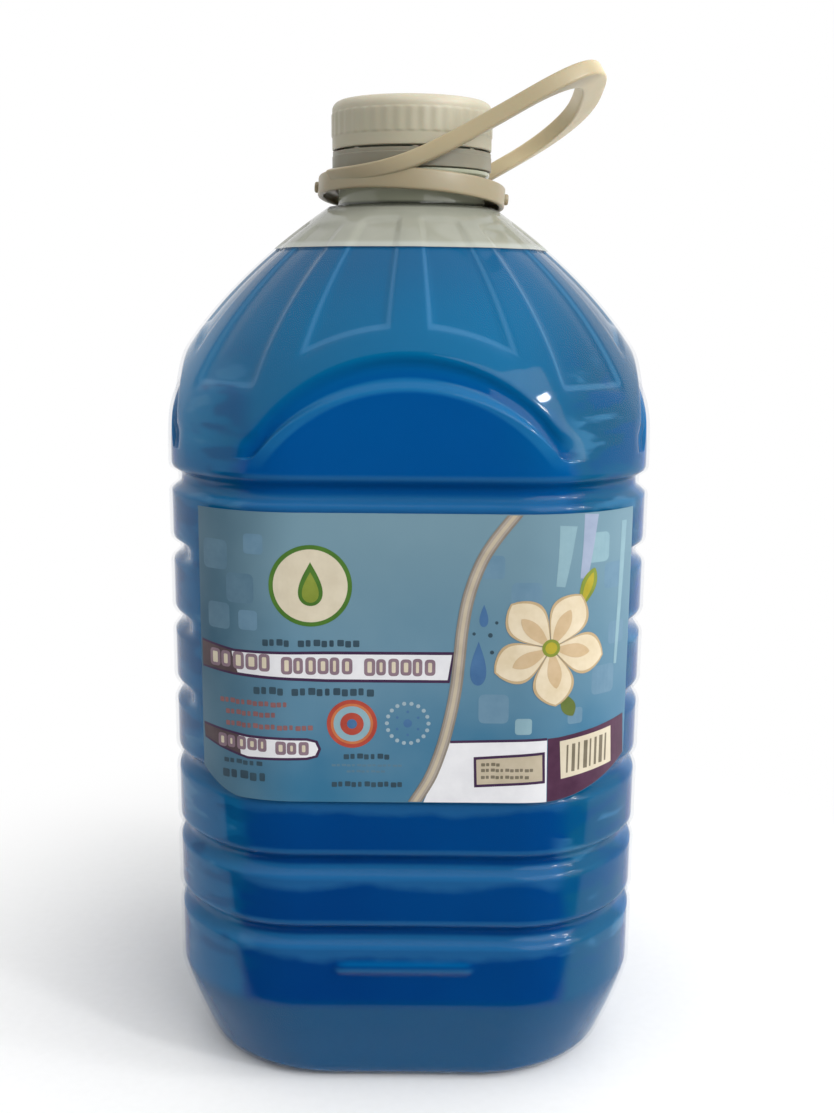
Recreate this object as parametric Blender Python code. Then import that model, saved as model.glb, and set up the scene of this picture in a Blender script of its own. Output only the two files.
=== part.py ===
"""Refill bottle of liquid hand soap: a square blown bottle with a screw cap and a carry handle.

Metres, +Z up. The origin is at the centre of the base, and the label faces -Y.
"""

import math

import bmesh
import bpy
from mathutils import Matrix, Vector

# Body of the bottle: a rounded square under a domed shoulder
BODY_WIDTH = 0.1522
CORNER_RADIUS = 0.043
SHOULDER_TOP = 0.277
BODY_WALL = 0.0008
DOME_RADIUS = 0.0905
DOME_DROP = 0.099
DOME_CROWN = 0.017
DOME_FULLNESS = 2.3
EDGE_BLEND = 0.003

# Grip grooves, by the heights of their middles
GROOVE_HEIGHTS = (0.0543, 0.0777, 0.1022, 0.1248, 0.1478, 0.1706, 0.1929)
GROOVE_WIDTH = 0.0082
GROOVE_FLOOR = 0.0024
GROOVE_DEPTH = 0.0032
PANEL_ANGLE = 47.0
PANEL_FADE = 8.0

# Heel, base and the short rib above the heel
HEEL_HEIGHT = 0.0315
HEEL_INSET = 0.009
HEEL_CURVE = 1.2
BASE_ROUND = 0.005
STANDING_RING = 0.009
BASE_RISE = 0.008
RIB_HEIGHT = 0.0438
RIB_WIDTH = 0.0024
RIB_LENGTH = 0.042
RIB_PROUD = 0.0009

# Arched groove at the top of each face, and the panels pressed into the shoulder
ARCH_APEX = 0.2278
ARCH_END = 0.203
ARCH_RADIUS = 0.0566
ARCH_WIDTH = 0.0104
ARCH_FLOOR = 0.0032
ARCH_DEPTH = 0.0022
ARCH_ANGLE = 36.0
ARCH_FADE = 6.0
PETAL_COUNT = 12
PETAL_ANGLE = 17.0
PETAL_BEVEL = 2.0
PETAL_BOTTOM = 0.2415
PETAL_TOP = 0.2715
PETAL_EDGE = 0.002
PETAL_DEPTH = 0.0012

# Contents
FILL_HEIGHT = 0.2636

# Neck, from the shoulder up
NECK_RADIUS = 0.02425
NECK_LENGTH = 0.0096
LEDGE_RADIUS = 0.0256
LEDGE_HEIGHT = 0.0017
LEDGE_BEVEL = 0.0005
FINISH_RADIUS = 0.0228
FINISH_HEIGHT = 0.0191
NECK_WALL = 0.002
LIP_CHAMFER = 0.0004
BEAD_PROUD = 0.0016
BEAD_HEIGHT = 0.002
BEAD_UNDERCUT = 0.0004

# Thread of the cap
THREAD_STARTS = 3
THREAD_PITCH = 0.003
THREAD_DEPTH = 0.0013
THREAD_ROOT = 0.0016
THREAD_CREST = 0.0007
THREAD_SPAN = 150.0
THREAD_STEP = 10.0
THREAD_FADE = 15.0
THREAD_BURIED = 0.0004

# Cap, its liner and the tamper band
CAP_RADIUS = 0.02635
CAP_TOP_WALL = 0.0016
CAP_ROUND = 0.0028
KNURL_COUNT = 42
KNURL_DEPTH = 0.0005
KNURL_START = 0.0038
KNURL_END = 0.0036
LINER_THICKNESS = 0.0007
BAND_WALL = 0.0012
BAND_HEIGHT = 0.0057
BAND_SLOT = 0.0007
BAND_BRIDGES = 8
BAND_LIP = 0.0011
BAND_LIP_TAPER = 0.0008
BAND_STEPS = 8

# Carry handle: a ring round the neck and a loop that stands up to the right
RING_RADIUS = 0.03085
RING_RIM = 0.0019
RING_HEIGHT = 0.0065
RING_WEB = 0.0022
RING_COLUMNS = 64
RING_TILT_X = 5.0
RING_TILT_Y = 3.2
KNOB_RADIUS = 0.0018
KNOB_PROUD = 0.0012
LOOP_REACH = 0.060
LOOP_SHOULDER = 0.034
LOOP_SLOPE = 30.2
LOOP_START = -0.004
LOOP_EASE = 0.014
LOOP_DROP = 0.0035
LOOP_ROLL = 12.0
LOOP_FRONT_ROOT = -0.025
LOOP_REAR_ROOT = 0.004
LOOP_SQUARENESS = 2.9
STRAP_WIDTH = 0.0054
STRAP_THICKNESS = 0.0028
GRIP_THICKNESS = 0.0088
TIP_STEPS = 14
KNOB_SIDES = 12

# Label film, in distances along the face from its middle
LABEL_TOP = 0.1876
LABEL_BOTTOM = 0.0993
LABEL_LEFT = -0.0646
LABEL_RIGHT = 0.0726
LABEL_LEFT_CUT = 0.0145
LABEL_LEFT_RISE = 0.0075
LABEL_RIGHT_CUT = 0.0305
LABEL_RIGHT_RISE = 0.0108
LABEL_EDGE_POWER = 1.7
LABEL_FILM = 0.0003
LABEL_COLUMNS = 34

# Clearances
TOUCH_GAP = 0.0003
THREAD_GAP = 0.00035
RING_GAP = 0.0005
BAND_GAP = 0.0005

# Heights that follow from the sizes above
LEDGE_BOTTOM = SHOULDER_TOP + NECK_LENGTH
LEDGE_TOP = LEDGE_BOTTOM + LEDGE_HEIGHT
LIP_TOP = LEDGE_TOP + FINISH_HEIGHT
BAND_BOTTOM = LEDGE_TOP + TOUCH_GAP
BAND_TOP = BAND_BOTTOM + BAND_HEIGHT
SKIRT_BOTTOM = BAND_TOP + BAND_SLOT
LINER_BOTTOM = LIP_TOP + TOUCH_GAP
CAP_CEILING = LINER_BOTTOM + LINER_THICKNESS + TOUCH_GAP
CAP_TOP = CAP_CEILING + CAP_TOP_WALL
THREAD_LEAD = THREAD_STARTS * THREAD_PITCH
BORE_RADIUS = FINISH_RADIUS - NECK_WALL
SKIRT_RADIUS = FINISH_RADIUS + THREAD_DEPTH + THREAD_GAP

INNER_COLUMNS = 36
MIN_COLUMN_STEP = 0.8


def clear_scene():
    for item in list(bpy.data.objects):
        bpy.data.objects.remove(item, do_unlink=True)


def material(name, colour, roughness, transmission=0.0):
    found = bpy.data.materials.new(name)
    found.use_nodes = True
    shader = found.node_tree.nodes["Principled BSDF"]
    shader.inputs["Base Color"].default_value = (*colour, 1.0)
    shader.inputs["Roughness"].default_value = roughness
    shader.inputs["Metallic"].default_value = 0.0
    shader.inputs["Transmission Weight"].default_value = transmission
    found.diffuse_color = (*colour, 1.0)
    return found


def smooth_step(value):
    t = min(max(value, 0.0), 1.0)
    return t * t * (3.0 - 2.0 * t)


def smooth_min(a, b, blend):
    h = max(blend - abs(a - b), 0.0) / blend
    return min(a, b) - h * h * blend / 4.0


def trapezoid(offset, width, floor):
    """1 over the floor of a groove, 0 outside its width, and a slope between."""
    return min(max((width / 2 - abs(offset)) / ((width - floor) / 2), 0.0), 1.0)


def face_angle(phi):
    """Degrees from the middle of the nearest face, with its sign. phi is 0 at -Y and grows towards +X."""
    return (phi + 45.0) % 90.0 - 45.0


def square_radius(phi, half):
    """Distance from the axis to a square of this half width with rounded corners."""
    c = math.radians(abs(face_angle(phi)))
    flat = half - CORNER_RADIUS
    if half * math.tan(c) <= flat:
        return half / math.cos(c)
    reach = flat * math.sqrt(2.0)
    off = math.pi / 4 - c
    return reach * math.cos(off) + math.sqrt(CORNER_RADIUS**2 - (reach * math.sin(off)) ** 2)


def dome_radius(z):
    low = SHOULDER_TOP - DOME_DROP
    u = min(max((z - low) / (SHOULDER_TOP + DOME_CROWN - low), 0.0), 1.0)
    return DOME_RADIUS * (1.0 - u**DOME_FULLNESS)


def arch_height(phi):
    across = BODY_WIDTH / 2 * math.tan(math.radians(abs(face_angle(phi))))
    centre = ARCH_APEX - ARCH_RADIUS
    arc = centre + math.sqrt(max(ARCH_RADIUS**2 - across**2, 0.0))
    return -smooth_min(-arc, -ARCH_END, EDGE_BLEND)


def arch_foot():
    return max(GROOVE_HEIGHTS) + GROOVE_WIDTH / 2 + EDGE_BLEND / 2


def warped(phi, height):
    """Height of a row of points. Rows above the grooves bend with the arches."""
    foot = arch_foot()
    if height <= foot:
        return height
    arch = arch_height(phi)
    if height <= ARCH_APEX:
        return foot + (height - foot) * (arch - foot) / (ARCH_APEX - foot)
    return arch + (height - ARCH_APEX) * (SHOULDER_TOP - arch) / (SHOULDER_TOP - ARCH_APEX)


def heel_inset(z):
    if z >= HEEL_HEIGHT:
        return 0.0
    inset = HEEL_INSET * (1.0 - z / HEEL_HEIGHT) ** HEEL_CURVE
    if z < BASE_ROUND:
        inset += BASE_ROUND - math.sqrt(BASE_ROUND**2 - (BASE_ROUND - z) ** 2)
    return inset


def groove_share(phi, centre):
    """Grooves beside the label stop at the flat panels on the front and the back."""
    if not LABEL_BOTTOM + GROOVE_WIDTH < centre < LABEL_TOP:
        return 1.0
    from_panel = abs((phi + 90.0) % 180.0 - 90.0)
    return smooth_step((from_panel - PANEL_ANGLE) / PANEL_FADE)


def petal_share(phi, height):
    pitch = 360.0 / PETAL_COUNT
    off = abs((phi + pitch) % pitch - pitch / 2)
    across = trapezoid(off, PETAL_ANGLE + 2 * PETAL_BEVEL, PETAL_ANGLE)
    middle = (PETAL_BOTTOM + PETAL_TOP) / 2
    span = PETAL_TOP - PETAL_BOTTOM
    return across * trapezoid(height - middle, span + 2 * PETAL_EDGE, span)


def rib_angle():
    """Degrees from the middle of the front face to the rib's end."""
    return math.degrees(math.atan(RIB_LENGTH / BODY_WIDTH))


def body_radius(phi, height, inset=0.0, plain=False):
    """Distance from the axis to the blown wall. A plain wall keeps clear of the pressed details."""
    z = warped(phi, height)
    square = square_radius(phi, BODY_WIDTH / 2 - heel_inset(z))
    radius = smooth_min(square, dome_radius(z), EDGE_BLEND)
    spread = 2 * inset if plain else 0.0
    for centre in GROOVE_HEIGHTS:
        share = trapezoid(height - centre, GROOVE_WIDTH + spread, GROOVE_FLOOR)
        radius -= GROOVE_DEPTH * share * groove_share(phi, centre)
    fade = smooth_step((ARCH_ANGLE - abs(face_angle(phi))) / ARCH_FADE)
    radius -= ARCH_DEPTH * fade * trapezoid(height - ARCH_APEX, ARCH_WIDTH + spread, ARCH_FLOOR)
    if plain:
        lead_in = PETAL_BOTTOM - PETAL_EDGE - ARCH_APEX - (ARCH_WIDTH + spread) / 2
        radius -= PETAL_DEPTH * smooth_step(1.0 + (height - PETAL_BOTTOM + PETAL_EDGE) / lead_in)
    else:
        radius -= PETAL_DEPTH * petal_share(phi, height)
        front = abs((phi + 180.0) % 360.0 - 180.0)
        if front < rib_angle() + MIN_COLUMN_STEP:
            radius += RIB_PROUD * trapezoid(height - RIB_HEIGHT, 2 * RIB_WIDTH, RIB_WIDTH / 2)
    return radius - inset


def at(phi, radius, z):
    turn = math.radians(phi)
    return Vector((radius * math.sin(turn), -radius * math.cos(turn), z))


def even_columns(count):
    return [360.0 * (i + 0.5) / count for i in range(count)]


def body_columns():
    """Plan angles on the shoulder panels' edges, the rib's ends, the faces' middles and the corners."""
    angles = [45.0 * i for i in range(8)] + [rib_angle(), 360.0 - rib_angle()]
    for i in range(PETAL_COUNT):
        middle = (i + 0.5) * 360.0 / PETAL_COUNT
        for side in (-1.0, 1.0):
            angles.append((middle + side * PETAL_ANGLE / 2) % 360.0)
            angles.append((middle + side * (PETAL_ANGLE / 2 + PETAL_BEVEL)) % 360.0)
    kept = []
    for angle in sorted(angles):
        if not kept or angle - kept[-1] > MIN_COLUMN_STEP:
            kept.append(angle)
    return kept


def groove_rows(spread):
    rows = []
    for centre in GROOVE_HEIGHTS:
        rows += [centre + side * (GROOVE_WIDTH / 2 + spread) for side in (-1.0, 1.0)]
        rows += [centre + side * GROOVE_FLOOR / 2 for side in (-1.0, 1.0)]
    return rows


def outer_rows():
    rows = [BASE_ROUND * share for share in (0.0, 0.3, 1.0)]
    rows += [HEEL_HEIGHT * share for share in (0.4, 0.7, 1.0)]
    rows += [RIB_HEIGHT - RIB_WIDTH, RIB_HEIGHT, RIB_HEIGHT + RIB_WIDTH]
    rows += groove_rows(0.0)
    rows.append(arch_foot())
    rows += [ARCH_APEX + side * ARCH_WIDTH / 2 for side in (-1.0, 1.0)]
    rows += [ARCH_APEX + side * ARCH_FLOOR / 2 for side in (-1.0, 1.0)]
    rows += [PETAL_BOTTOM - PETAL_EDGE, PETAL_BOTTOM, PETAL_TOP, PETAL_TOP + PETAL_EDGE]
    rows += [PETAL_BOTTOM + (PETAL_TOP - PETAL_BOTTOM) * share for share in (0.25, 0.5, 0.75)]
    return sorted(rows)


def inner_rows(inset):
    """Rows of the inner wall, which has fewer points than the outer one."""
    rows = [BASE_ROUND, HEEL_HEIGHT * 0.4, HEEL_HEIGHT * 0.7, HEEL_HEIGHT]
    rows += groove_rows(inset)
    rows += [ARCH_APEX + side * (ARCH_WIDTH / 2 + inset) for side in (-1.0, 1.0)]
    rows += [ARCH_APEX + side * ARCH_FLOOR / 2 for side in (-1.0, 1.0)]
    rows += [PETAL_BOTTOM + (PETAL_TOP - PETAL_BOTTOM) * share for share in (0.0, 0.25, 0.5, 0.75, 1.0)]
    return sorted(rows)


def wall_rings(columns, rows, inset, plain):
    rings = []
    for height in rows:
        ring = [at(phi, body_radius(phi, height, inset, plain), warped(phi, height)) for phi in columns]
        rings.append(ring)
    return rings


def base_radius(phi, z):
    return square_radius(phi, BODY_WIDTH / 2 - heel_inset(z))


def base_rings(columns, lift, inset):
    """Rings of the pushed-up base, from the middle out to the standing ring."""
    rings = []
    for share in (0.35, 0.75, 1.0):
        rise = BASE_RISE * (1.0 - share**2)
        width = [base_radius(phi, 0.0) - STANDING_RING for phi in columns]
        ring = [at(phi, share * w, rise + lift) for phi, w in zip(columns, width)]
        rings.append(ring)
    if inset:
        rings.append([at(phi, base_radius(phi, 0.0) - inset, lift) for phi in columns])
    return rings


def add_rings(mesh, rings):
    return [[mesh.verts.new(point) for point in ring] for ring in rings]


def add_skin(mesh, rings):
    for low, high in zip(rings, rings[1:]):
        for i in range(len(low)):
            j = (i + 1) % len(low)
            mesh.faces.new((low[i], low[j], high[j], high[i]))


def add_fan(mesh, ring, point):
    pole = mesh.verts.new(point)
    for i in range(len(ring)):
        mesh.faces.new((pole, ring[i], ring[(i + 1) % len(ring)]))


def join_loops(mesh, first, second):
    """Joins two rings of any counts, taking the points in the order of their angles."""
    turn = math.tau
    a = sorted((math.atan2(v.co.x, -v.co.y) % turn, i) for i, v in enumerate(first))
    b = sorted((math.atan2(v.co.x, -v.co.y) % turn, i) for i, v in enumerate(second))
    i = j = 0
    while i < len(a) or j < len(b):
        va, vb = first[a[i % len(a)][1]], second[b[j % len(b)][1]]
        next_a = a[(i + 1) % len(a)][0] + turn * ((i + 1) // len(a))
        next_b = b[(j + 1) % len(b)][0] + turn * ((j + 1) // len(b))
        if j == len(b) or (i < len(a) and next_a <= next_b):
            i += 1
            mesh.faces.new((va, vb, first[a[i % len(a)][1]]))
        else:
            j += 1
            mesh.faces.new((va, vb, second[b[j % len(b)][1]]))


def finish_object(name, mesh, look, smooth_angle=35.0):
    bmesh.ops.recalc_face_normals(mesh, faces=mesh.faces)
    data = bpy.data.meshes.new(name)
    mesh.to_mesh(data)
    mesh.free()
    data.shade_smooth()
    data.set_sharp_from_angle(angle=math.radians(smooth_angle))
    data.materials.append(look)
    item = bpy.data.objects.new(name, data)
    bpy.context.scene.collection.objects.link(item)
    return item


def revolved(name, profile, look, columns):
    """Turns a closed profile of (radius, height) points about the axis."""
    mesh = bmesh.new()
    rings = add_rings(mesh, [[at(phi, r, z) for phi in even_columns(columns)] for r, z in profile])
    add_skin(mesh, rings + rings[:1])
    return finish_object(name, mesh, look)


def helix_ridges(name, wall_radius, depth, start_height):
    """Thread ridges that stand out of a wall by depth, or into the bore where depth is negative."""
    mesh = bmesh.new()
    steps = max(round(THREAD_SPAN / THREAD_STEP), 2)
    buried = math.copysign(THREAD_BURIED, depth)
    for start in range(THREAD_STARTS):
        sections = []
        for i in range(steps + 1):
            turned = THREAD_SPAN * i / steps
            phi = start * 360.0 / THREAD_STARTS + turned
            z = start_height + THREAD_LEAD * turned / 360.0
            tip = depth * smooth_step(min(turned, THREAD_SPAN - turned) / THREAD_FADE)
            root_half, crest_half = THREAD_ROOT / 2, THREAD_CREST / 2
            outline = (
                (wall_radius - buried, z - root_half),
                (wall_radius + tip, z - crest_half),
                (wall_radius + tip, z + crest_half),
                (wall_radius - buried, z + root_half),
            )
            sections.append([at(phi, r, h) for r, h in outline])
        rings = add_rings(mesh, sections)
        add_skin(mesh, rings)
        mesh.faces.new(rings[0])
        mesh.faces.new(rings[-1])
    ridges = finish_object(name, mesh, material(name, (0.5, 0.5, 0.5), 0.5))
    ridges.hide_render = True
    ridges.display_type = "WIRE"
    return ridges


def join_by_union(target, other):
    step = target.modifiers.new(other.name, "BOOLEAN")
    step.operation = "UNION"
    step.solver = "EXACT"
    step.object = other


def thread_middle():
    """Height at which the neck's ridges start."""
    return SKIRT_BOTTOM + THREAD_PITCH + THREAD_ROOT / 2


def neck_profile():
    """Outside of the neck, from the shoulder up to the lip."""
    bead_bottom = BAND_BOTTOM + BAND_LIP + 2 * TOUCH_GAP
    bead_radius = FINISH_RADIUS + BEAD_PROUD
    return (
        (NECK_RADIUS, SHOULDER_TOP),
        (NECK_RADIUS, LEDGE_BOTTOM),
        (LEDGE_RADIUS, LEDGE_BOTTOM + LEDGE_BEVEL),
        (LEDGE_RADIUS, LEDGE_TOP),
        (FINISH_RADIUS, LEDGE_TOP),
        (FINISH_RADIUS, bead_bottom),
        (bead_radius, bead_bottom + BEAD_UNDERCUT),
        (FINISH_RADIUS, bead_bottom + BEAD_HEIGHT),
        (FINISH_RADIUS, LIP_TOP - LIP_CHAMFER),
        (FINISH_RADIUS - LIP_CHAMFER, LIP_TOP),
    )


def make_bottle():
    look = material("clear_pet", (0.55, 0.72, 0.85), 0.12, 1.0)
    mesh = bmesh.new()
    columns = body_columns()
    outside = base_rings(columns, 0.0, 0.0)
    outside += wall_rings(columns, outer_rows(), 0.0, False)
    outside += [[at(phi, r, z) for phi in columns] for r, z in neck_profile()]
    outer = add_rings(mesh, outside)
    add_skin(mesh, outer)
    add_fan(mesh, outer[0], Vector((0.0, 0.0, BASE_RISE)))

    few = even_columns(INNER_COLUMNS)
    inside = base_rings(few, BODY_WALL, BODY_WALL)
    inside += wall_rings(few, inner_rows(BODY_WALL), BODY_WALL, True)
    for z in (SHOULDER_TOP, LIP_TOP):
        inside.append([at(phi, BORE_RADIUS, z) for phi in few])
    inner = add_rings(mesh, inside)
    add_skin(mesh, inner)
    add_fan(mesh, inner[0], Vector((0.0, 0.0, BASE_RISE + BODY_WALL)))
    join_loops(mesh, outer[-1], inner[-1])
    bottle = finish_object("bottle", mesh, look)
    ridges = helix_ridges("neck_thread_ridges", FINISH_RADIUS, THREAD_DEPTH, thread_middle())
    join_by_union(bottle, ridges)
    return bottle


def make_liquid():
    look = material("blue_soap", (0.01, 0.11, 0.30), 0.2)
    mesh = bmesh.new()
    few = even_columns(INNER_COLUMNS)
    inset = BODY_WALL + TOUCH_GAP
    rings = base_rings(few, inset, inset)
    rings += wall_rings(few, [h for h in inner_rows(BODY_WALL) if h < FILL_HEIGHT], inset, True)
    surface = body_radius(0.0, FILL_HEIGHT, inset, True) - 2 * TOUCH_GAP
    rings.append([at(phi, surface, FILL_HEIGHT) for phi in few])
    made = add_rings(mesh, rings)
    add_skin(mesh, made)
    add_fan(mesh, made[0], Vector((0.0, 0.0, BASE_RISE + inset)))
    add_fan(mesh, made[-1], Vector((0.0, 0.0, FILL_HEIGHT)))
    return finish_object("liquid_soap", mesh, look)


def make_cap():
    look = material("cap_plastic", (0.60, 0.56, 0.46), 0.45)
    mesh = bmesh.new()
    columns = even_columns(2 * KNURL_COUNT)
    knurl_bottom, knurl_top = SKIRT_BOTTOM + KNURL_START, CAP_TOP - KNURL_END
    rim = CAP_RADIUS - KNURL_DEPTH / 2
    rows = [(rim, SKIRT_BOTTOM, False), (rim, knurl_bottom, False)]
    blend = KNURL_DEPTH
    rows += [(CAP_RADIUS, knurl_bottom + blend, True), (CAP_RADIUS, knurl_top - blend, True)]
    rows.append((rim, knurl_top, False))
    for degrees in (20.0, 50.0, 90.0):
        turn = math.radians(degrees)
        level = CAP_TOP - CAP_ROUND * (1.0 - math.sin(turn))
        rows.append((rim - CAP_ROUND * (1.0 - math.cos(turn)), level, False))
    rings = []
    for radius, z, knurled in rows:
        dip = KNURL_DEPTH if knurled else 0.0
        rings.append([at(phi, radius - dip * (i % 2), z) for i, phi in enumerate(columns)])
    outer = add_rings(mesh, rings)
    add_skin(mesh, outer)
    add_fan(mesh, outer[-1], Vector((0.0, 0.0, CAP_TOP)))
    few = even_columns(INNER_COLUMNS)
    inner = add_rings(mesh, [[at(phi, SKIRT_RADIUS, z) for phi in few] for z in (SKIRT_BOTTOM, CAP_CEILING)])
    add_skin(mesh, inner)
    add_fan(mesh, inner[-1], Vector((0.0, 0.0, CAP_CEILING)))
    join_loops(mesh, outer[0], inner[0])
    cap = finish_object("cap", mesh, look)
    start = thread_middle() - THREAD_PITCH / 2
    ridges = helix_ridges("cap_thread_ridges", SKIRT_RADIUS, -THREAD_DEPTH, start)
    join_by_union(cap, ridges)
    return cap


def make_liner():
    look = material("liner_foam", (0.85, 0.86, 0.86), 0.7)
    mesh = bmesh.new()
    columns = even_columns(INNER_COLUMNS)
    radius = SKIRT_RADIUS - THREAD_GAP
    levels = (LINER_BOTTOM, LINER_BOTTOM + LINER_THICKNESS)
    rings = add_rings(mesh, [[at(phi, radius, z) for phi in columns] for z in levels])
    add_skin(mesh, rings)
    for ring, z in zip(rings, levels):
        add_fan(mesh, ring, Vector((0.0, 0.0, z)))
    return finish_object("cap_liner", mesh, look)


def make_tamper_band():
    """Ring left on the neck. Small bridges reach up to the cap's skirt, and a lip hooks under the bead."""
    look = material("band_plastic", (0.55, 0.53, 0.45), 0.45)
    inside = FINISH_RADIUS + BEAD_PROUD + BAND_GAP
    outside = inside + BAND_WALL
    lip = FINISH_RADIUS + BAND_GAP
    lip_top = BAND_BOTTOM + BAND_LIP
    bridge_top = BAND_SLOT - TOUCH_GAP
    mesh = bmesh.new()
    sections = []
    for i, phi in enumerate(even_columns(BAND_BRIDGES * BAND_STEPS)):
        top = BAND_TOP + (0.0 if i % BAND_STEPS else bridge_top)
        profile = (
            (outside, BAND_BOTTOM),
            (outside, top),
            (inside, top),
            (inside, lip_top + TOUCH_GAP),
            (lip, lip_top),
            (lip, lip_top - BAND_LIP_TAPER),
            (inside, BAND_BOTTOM),
        )
        sections.append([at(phi, r, z) for r, z in profile])
    made = add_rings(mesh, sections)
    add_skin(mesh, made + made[:1])
    return finish_object("tamper_band", mesh, look)


def ring_centre():
    return (SHOULDER_TOP + LEDGE_BOTTOM) / 2 + RING_GAP / 10


def loop_height(along, across):
    """The loop leaves the ring level, eases into its slope and leans over to the rear."""
    past = along - LOOP_START
    rise = math.tan(math.radians(LOOP_SLOPE)) * (past + math.hypot(past, LOOP_EASE)) / 2
    return ring_centre() - LOOP_DROP + rise - across * math.tan(math.radians(LOOP_ROLL))


def loop_route():
    """Middle line of the strap: out along the front, round the tip and back along the rear."""
    side = RING_RADIUS - RING_RIM / 2 - TOUCH_GAP
    stations = [LOOP_FRONT_ROOT * share for share in (1.0, 0.8, 0.6, 0.4, 0.2, 0.0)]
    stations += [LOOP_SHOULDER * share for share in (0.2, 0.45, 0.7)]
    front = []
    for along in stations:
        across = math.sqrt(side**2 - min(along, 0.0) ** 2)
        front.append(Vector((along, -across, loop_height(along, -side))))
    tip = []
    for i in range(TIP_STEPS + 1):
        turn = math.pi * i / TIP_STEPS - math.pi / 2
        power = 2.0 / LOOP_SQUARENESS
        along = LOOP_SHOULDER + (LOOP_REACH - LOOP_SHOULDER) * math.cos(turn) ** power
        across = math.copysign(abs(math.sin(turn)) ** power, turn) * side
        tip.append((along, across))
    rear = [(LOOP_SHOULDER * share, side) for share in (0.7, 0.4)] + [(LOOP_REAR_ROOT, side)]
    return front + [Vector((a, b, loop_height(a, b))) for a, b in tip + rear]


def strap_outline(thickness):
    """Cross-section with chamfered corners, which thickens inwards only."""
    top, outside, chamfer = STRAP_WIDTH / 2, STRAP_THICKNESS / 2, STRAP_THICKNESS / 4
    inside = outside - thickness
    return (
        (top, outside - chamfer),
        (top - chamfer, outside),
        (chamfer - top, outside),
        (-top, outside - chamfer),
        (-top, inside + chamfer),
        (chamfer - top, inside),
        (top - chamfer, inside),
        (top, inside + chamfer),
    )


def make_strap(look):
    """Flat strap swept along the loop, standing on its edge, thicker at the grip."""
    route = loop_route()
    slope, roll = math.radians(LOOP_SLOPE), math.radians(LOOP_ROLL)
    upright = Vector((-math.tan(slope), math.tan(roll), 1.0)).normalized()
    mesh = bmesh.new()
    sections = []
    for i, point in enumerate(route):
        ahead = route[min(i + 1, len(route) - 1)] - route[max(i - 1, 0)]
        outward = ahead.cross(upright).normalized()
        grip = smooth_step((point.x - LOOP_SHOULDER) / (LOOP_REACH - LOOP_SHOULDER))
        outline = strap_outline(STRAP_THICKNESS + (GRIP_THICKNESS - STRAP_THICKNESS) * grip)
        sections.append([point + upright * u + outward * v for u, v in outline])
    rings = add_rings(mesh, sections)
    add_skin(mesh, rings)
    mesh.faces.new(rings[0])
    mesh.faces.new(rings[-1])
    strap = finish_object("handle_strap", mesh, look)
    strap.hide_render = True
    strap.display_type = "WIRE"
    return strap


def make_knobs(look, frame):
    mesh = bmesh.new()
    length = KNOB_PROUD + RING_RIM / 2
    for side in (-1.0, 1.0):
        place = Matrix.Translation((side * (RING_RADIUS + KNOB_PROUD - length / 2), 0.0, 0.0))
        turn = Matrix.Rotation(math.pi / 2, 4, "Y")
        bmesh.ops.create_cone(
            mesh,
            cap_ends=True,
            segments=KNOB_SIDES,
            radius1=KNOB_RADIUS,
            radius2=KNOB_RADIUS,
            depth=length,
            matrix=frame @ place @ turn,
        )
    knobs = finish_object("handle_knobs", mesh, look)
    knobs.hide_render = True
    knobs.display_type = "WIRE"
    return knobs


def make_handle():
    """Loose ring with an L section, tipped on the neck, its knobs and the strap, all one moulding."""
    look = material("handle_plastic", (0.55, 0.48, 0.33), 0.4)
    rim_inside = RING_RADIUS - RING_RIM
    web_inside = NECK_RADIUS + RING_GAP
    half, web = RING_HEIGHT / 2, RING_WEB / 2
    profile = (
        (RING_RADIUS, -half),
        (RING_RADIUS, half),
        (rim_inside, half),
        (rim_inside, web),
        (web_inside, web),
        (web_inside, -web),
        (rim_inside, -web),
        (rim_inside, -half),
    )
    handle = revolved("carry_handle", profile, look, RING_COLUMNS)
    tilt = Matrix.Rotation(math.radians(-RING_TILT_X), 4, "X") @ Matrix.Rotation(math.radians(RING_TILT_Y), 4, "Y")
    frame = Matrix.Translation((0.0, 0.0, ring_centre())) @ tilt
    handle.data.transform(frame)
    join_by_union(handle, make_strap(look))
    join_by_union(handle, make_knobs(look, frame))
    return handle


def face_point(along, height, offset):
    """Point this far along the front face and round its corners, and this far out of it."""
    half = BODY_WIDTH / 2
    flat = half - CORNER_RADIUS
    over = max(abs(along) - flat, 0.0)
    turn = over / CORNER_RADIUS
    reach = CORNER_RADIUS + offset
    x = min(abs(along), flat) + reach * math.sin(turn)
    return Vector((math.copysign(x, along), -flat - reach * math.cos(turn), height))


def label_bottom(along):
    """Lower edge of the label, which curves up towards both of its ends."""
    left = max(1.0 - (along - LABEL_LEFT) / LABEL_LEFT_CUT, 0.0)
    right = max(1.0 - (LABEL_RIGHT - along) / LABEL_RIGHT_CUT, 0.0)
    return LABEL_BOTTOM + LABEL_LEFT_RISE * left**LABEL_EDGE_POWER + LABEL_RIGHT_RISE * right**LABEL_EDGE_POWER


def make_label():
    look = material("label_film", (0.20, 0.33, 0.42), 0.4)
    mesh = bmesh.new()
    inner, outer = TOUCH_GAP, TOUCH_GAP + LABEL_FILM
    sections = []
    for i in range(LABEL_COLUMNS + 1):
        along = LABEL_LEFT + (LABEL_RIGHT - LABEL_LEFT) * i / LABEL_COLUMNS
        low = label_bottom(along)
        corners = ((low, inner), (low, outer), (LABEL_TOP, outer), (LABEL_TOP, inner))
        sections.append([face_point(along, z, off) for z, off in corners])
    rings = add_rings(mesh, sections)
    add_skin(mesh, rings)
    mesh.faces.new(rings[0])
    mesh.faces.new(rings[-1])
    return finish_object("front_label", mesh, look)


def main():
    clear_scene()
    make_bottle()
    make_liquid()
    make_cap()
    make_liner()
    make_tamper_band()
    make_handle()
    make_label()


main()
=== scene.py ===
from math import atan, copysign, cos, degrees, hypot, pi, radians, sin, sqrt, tan, tau

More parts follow.
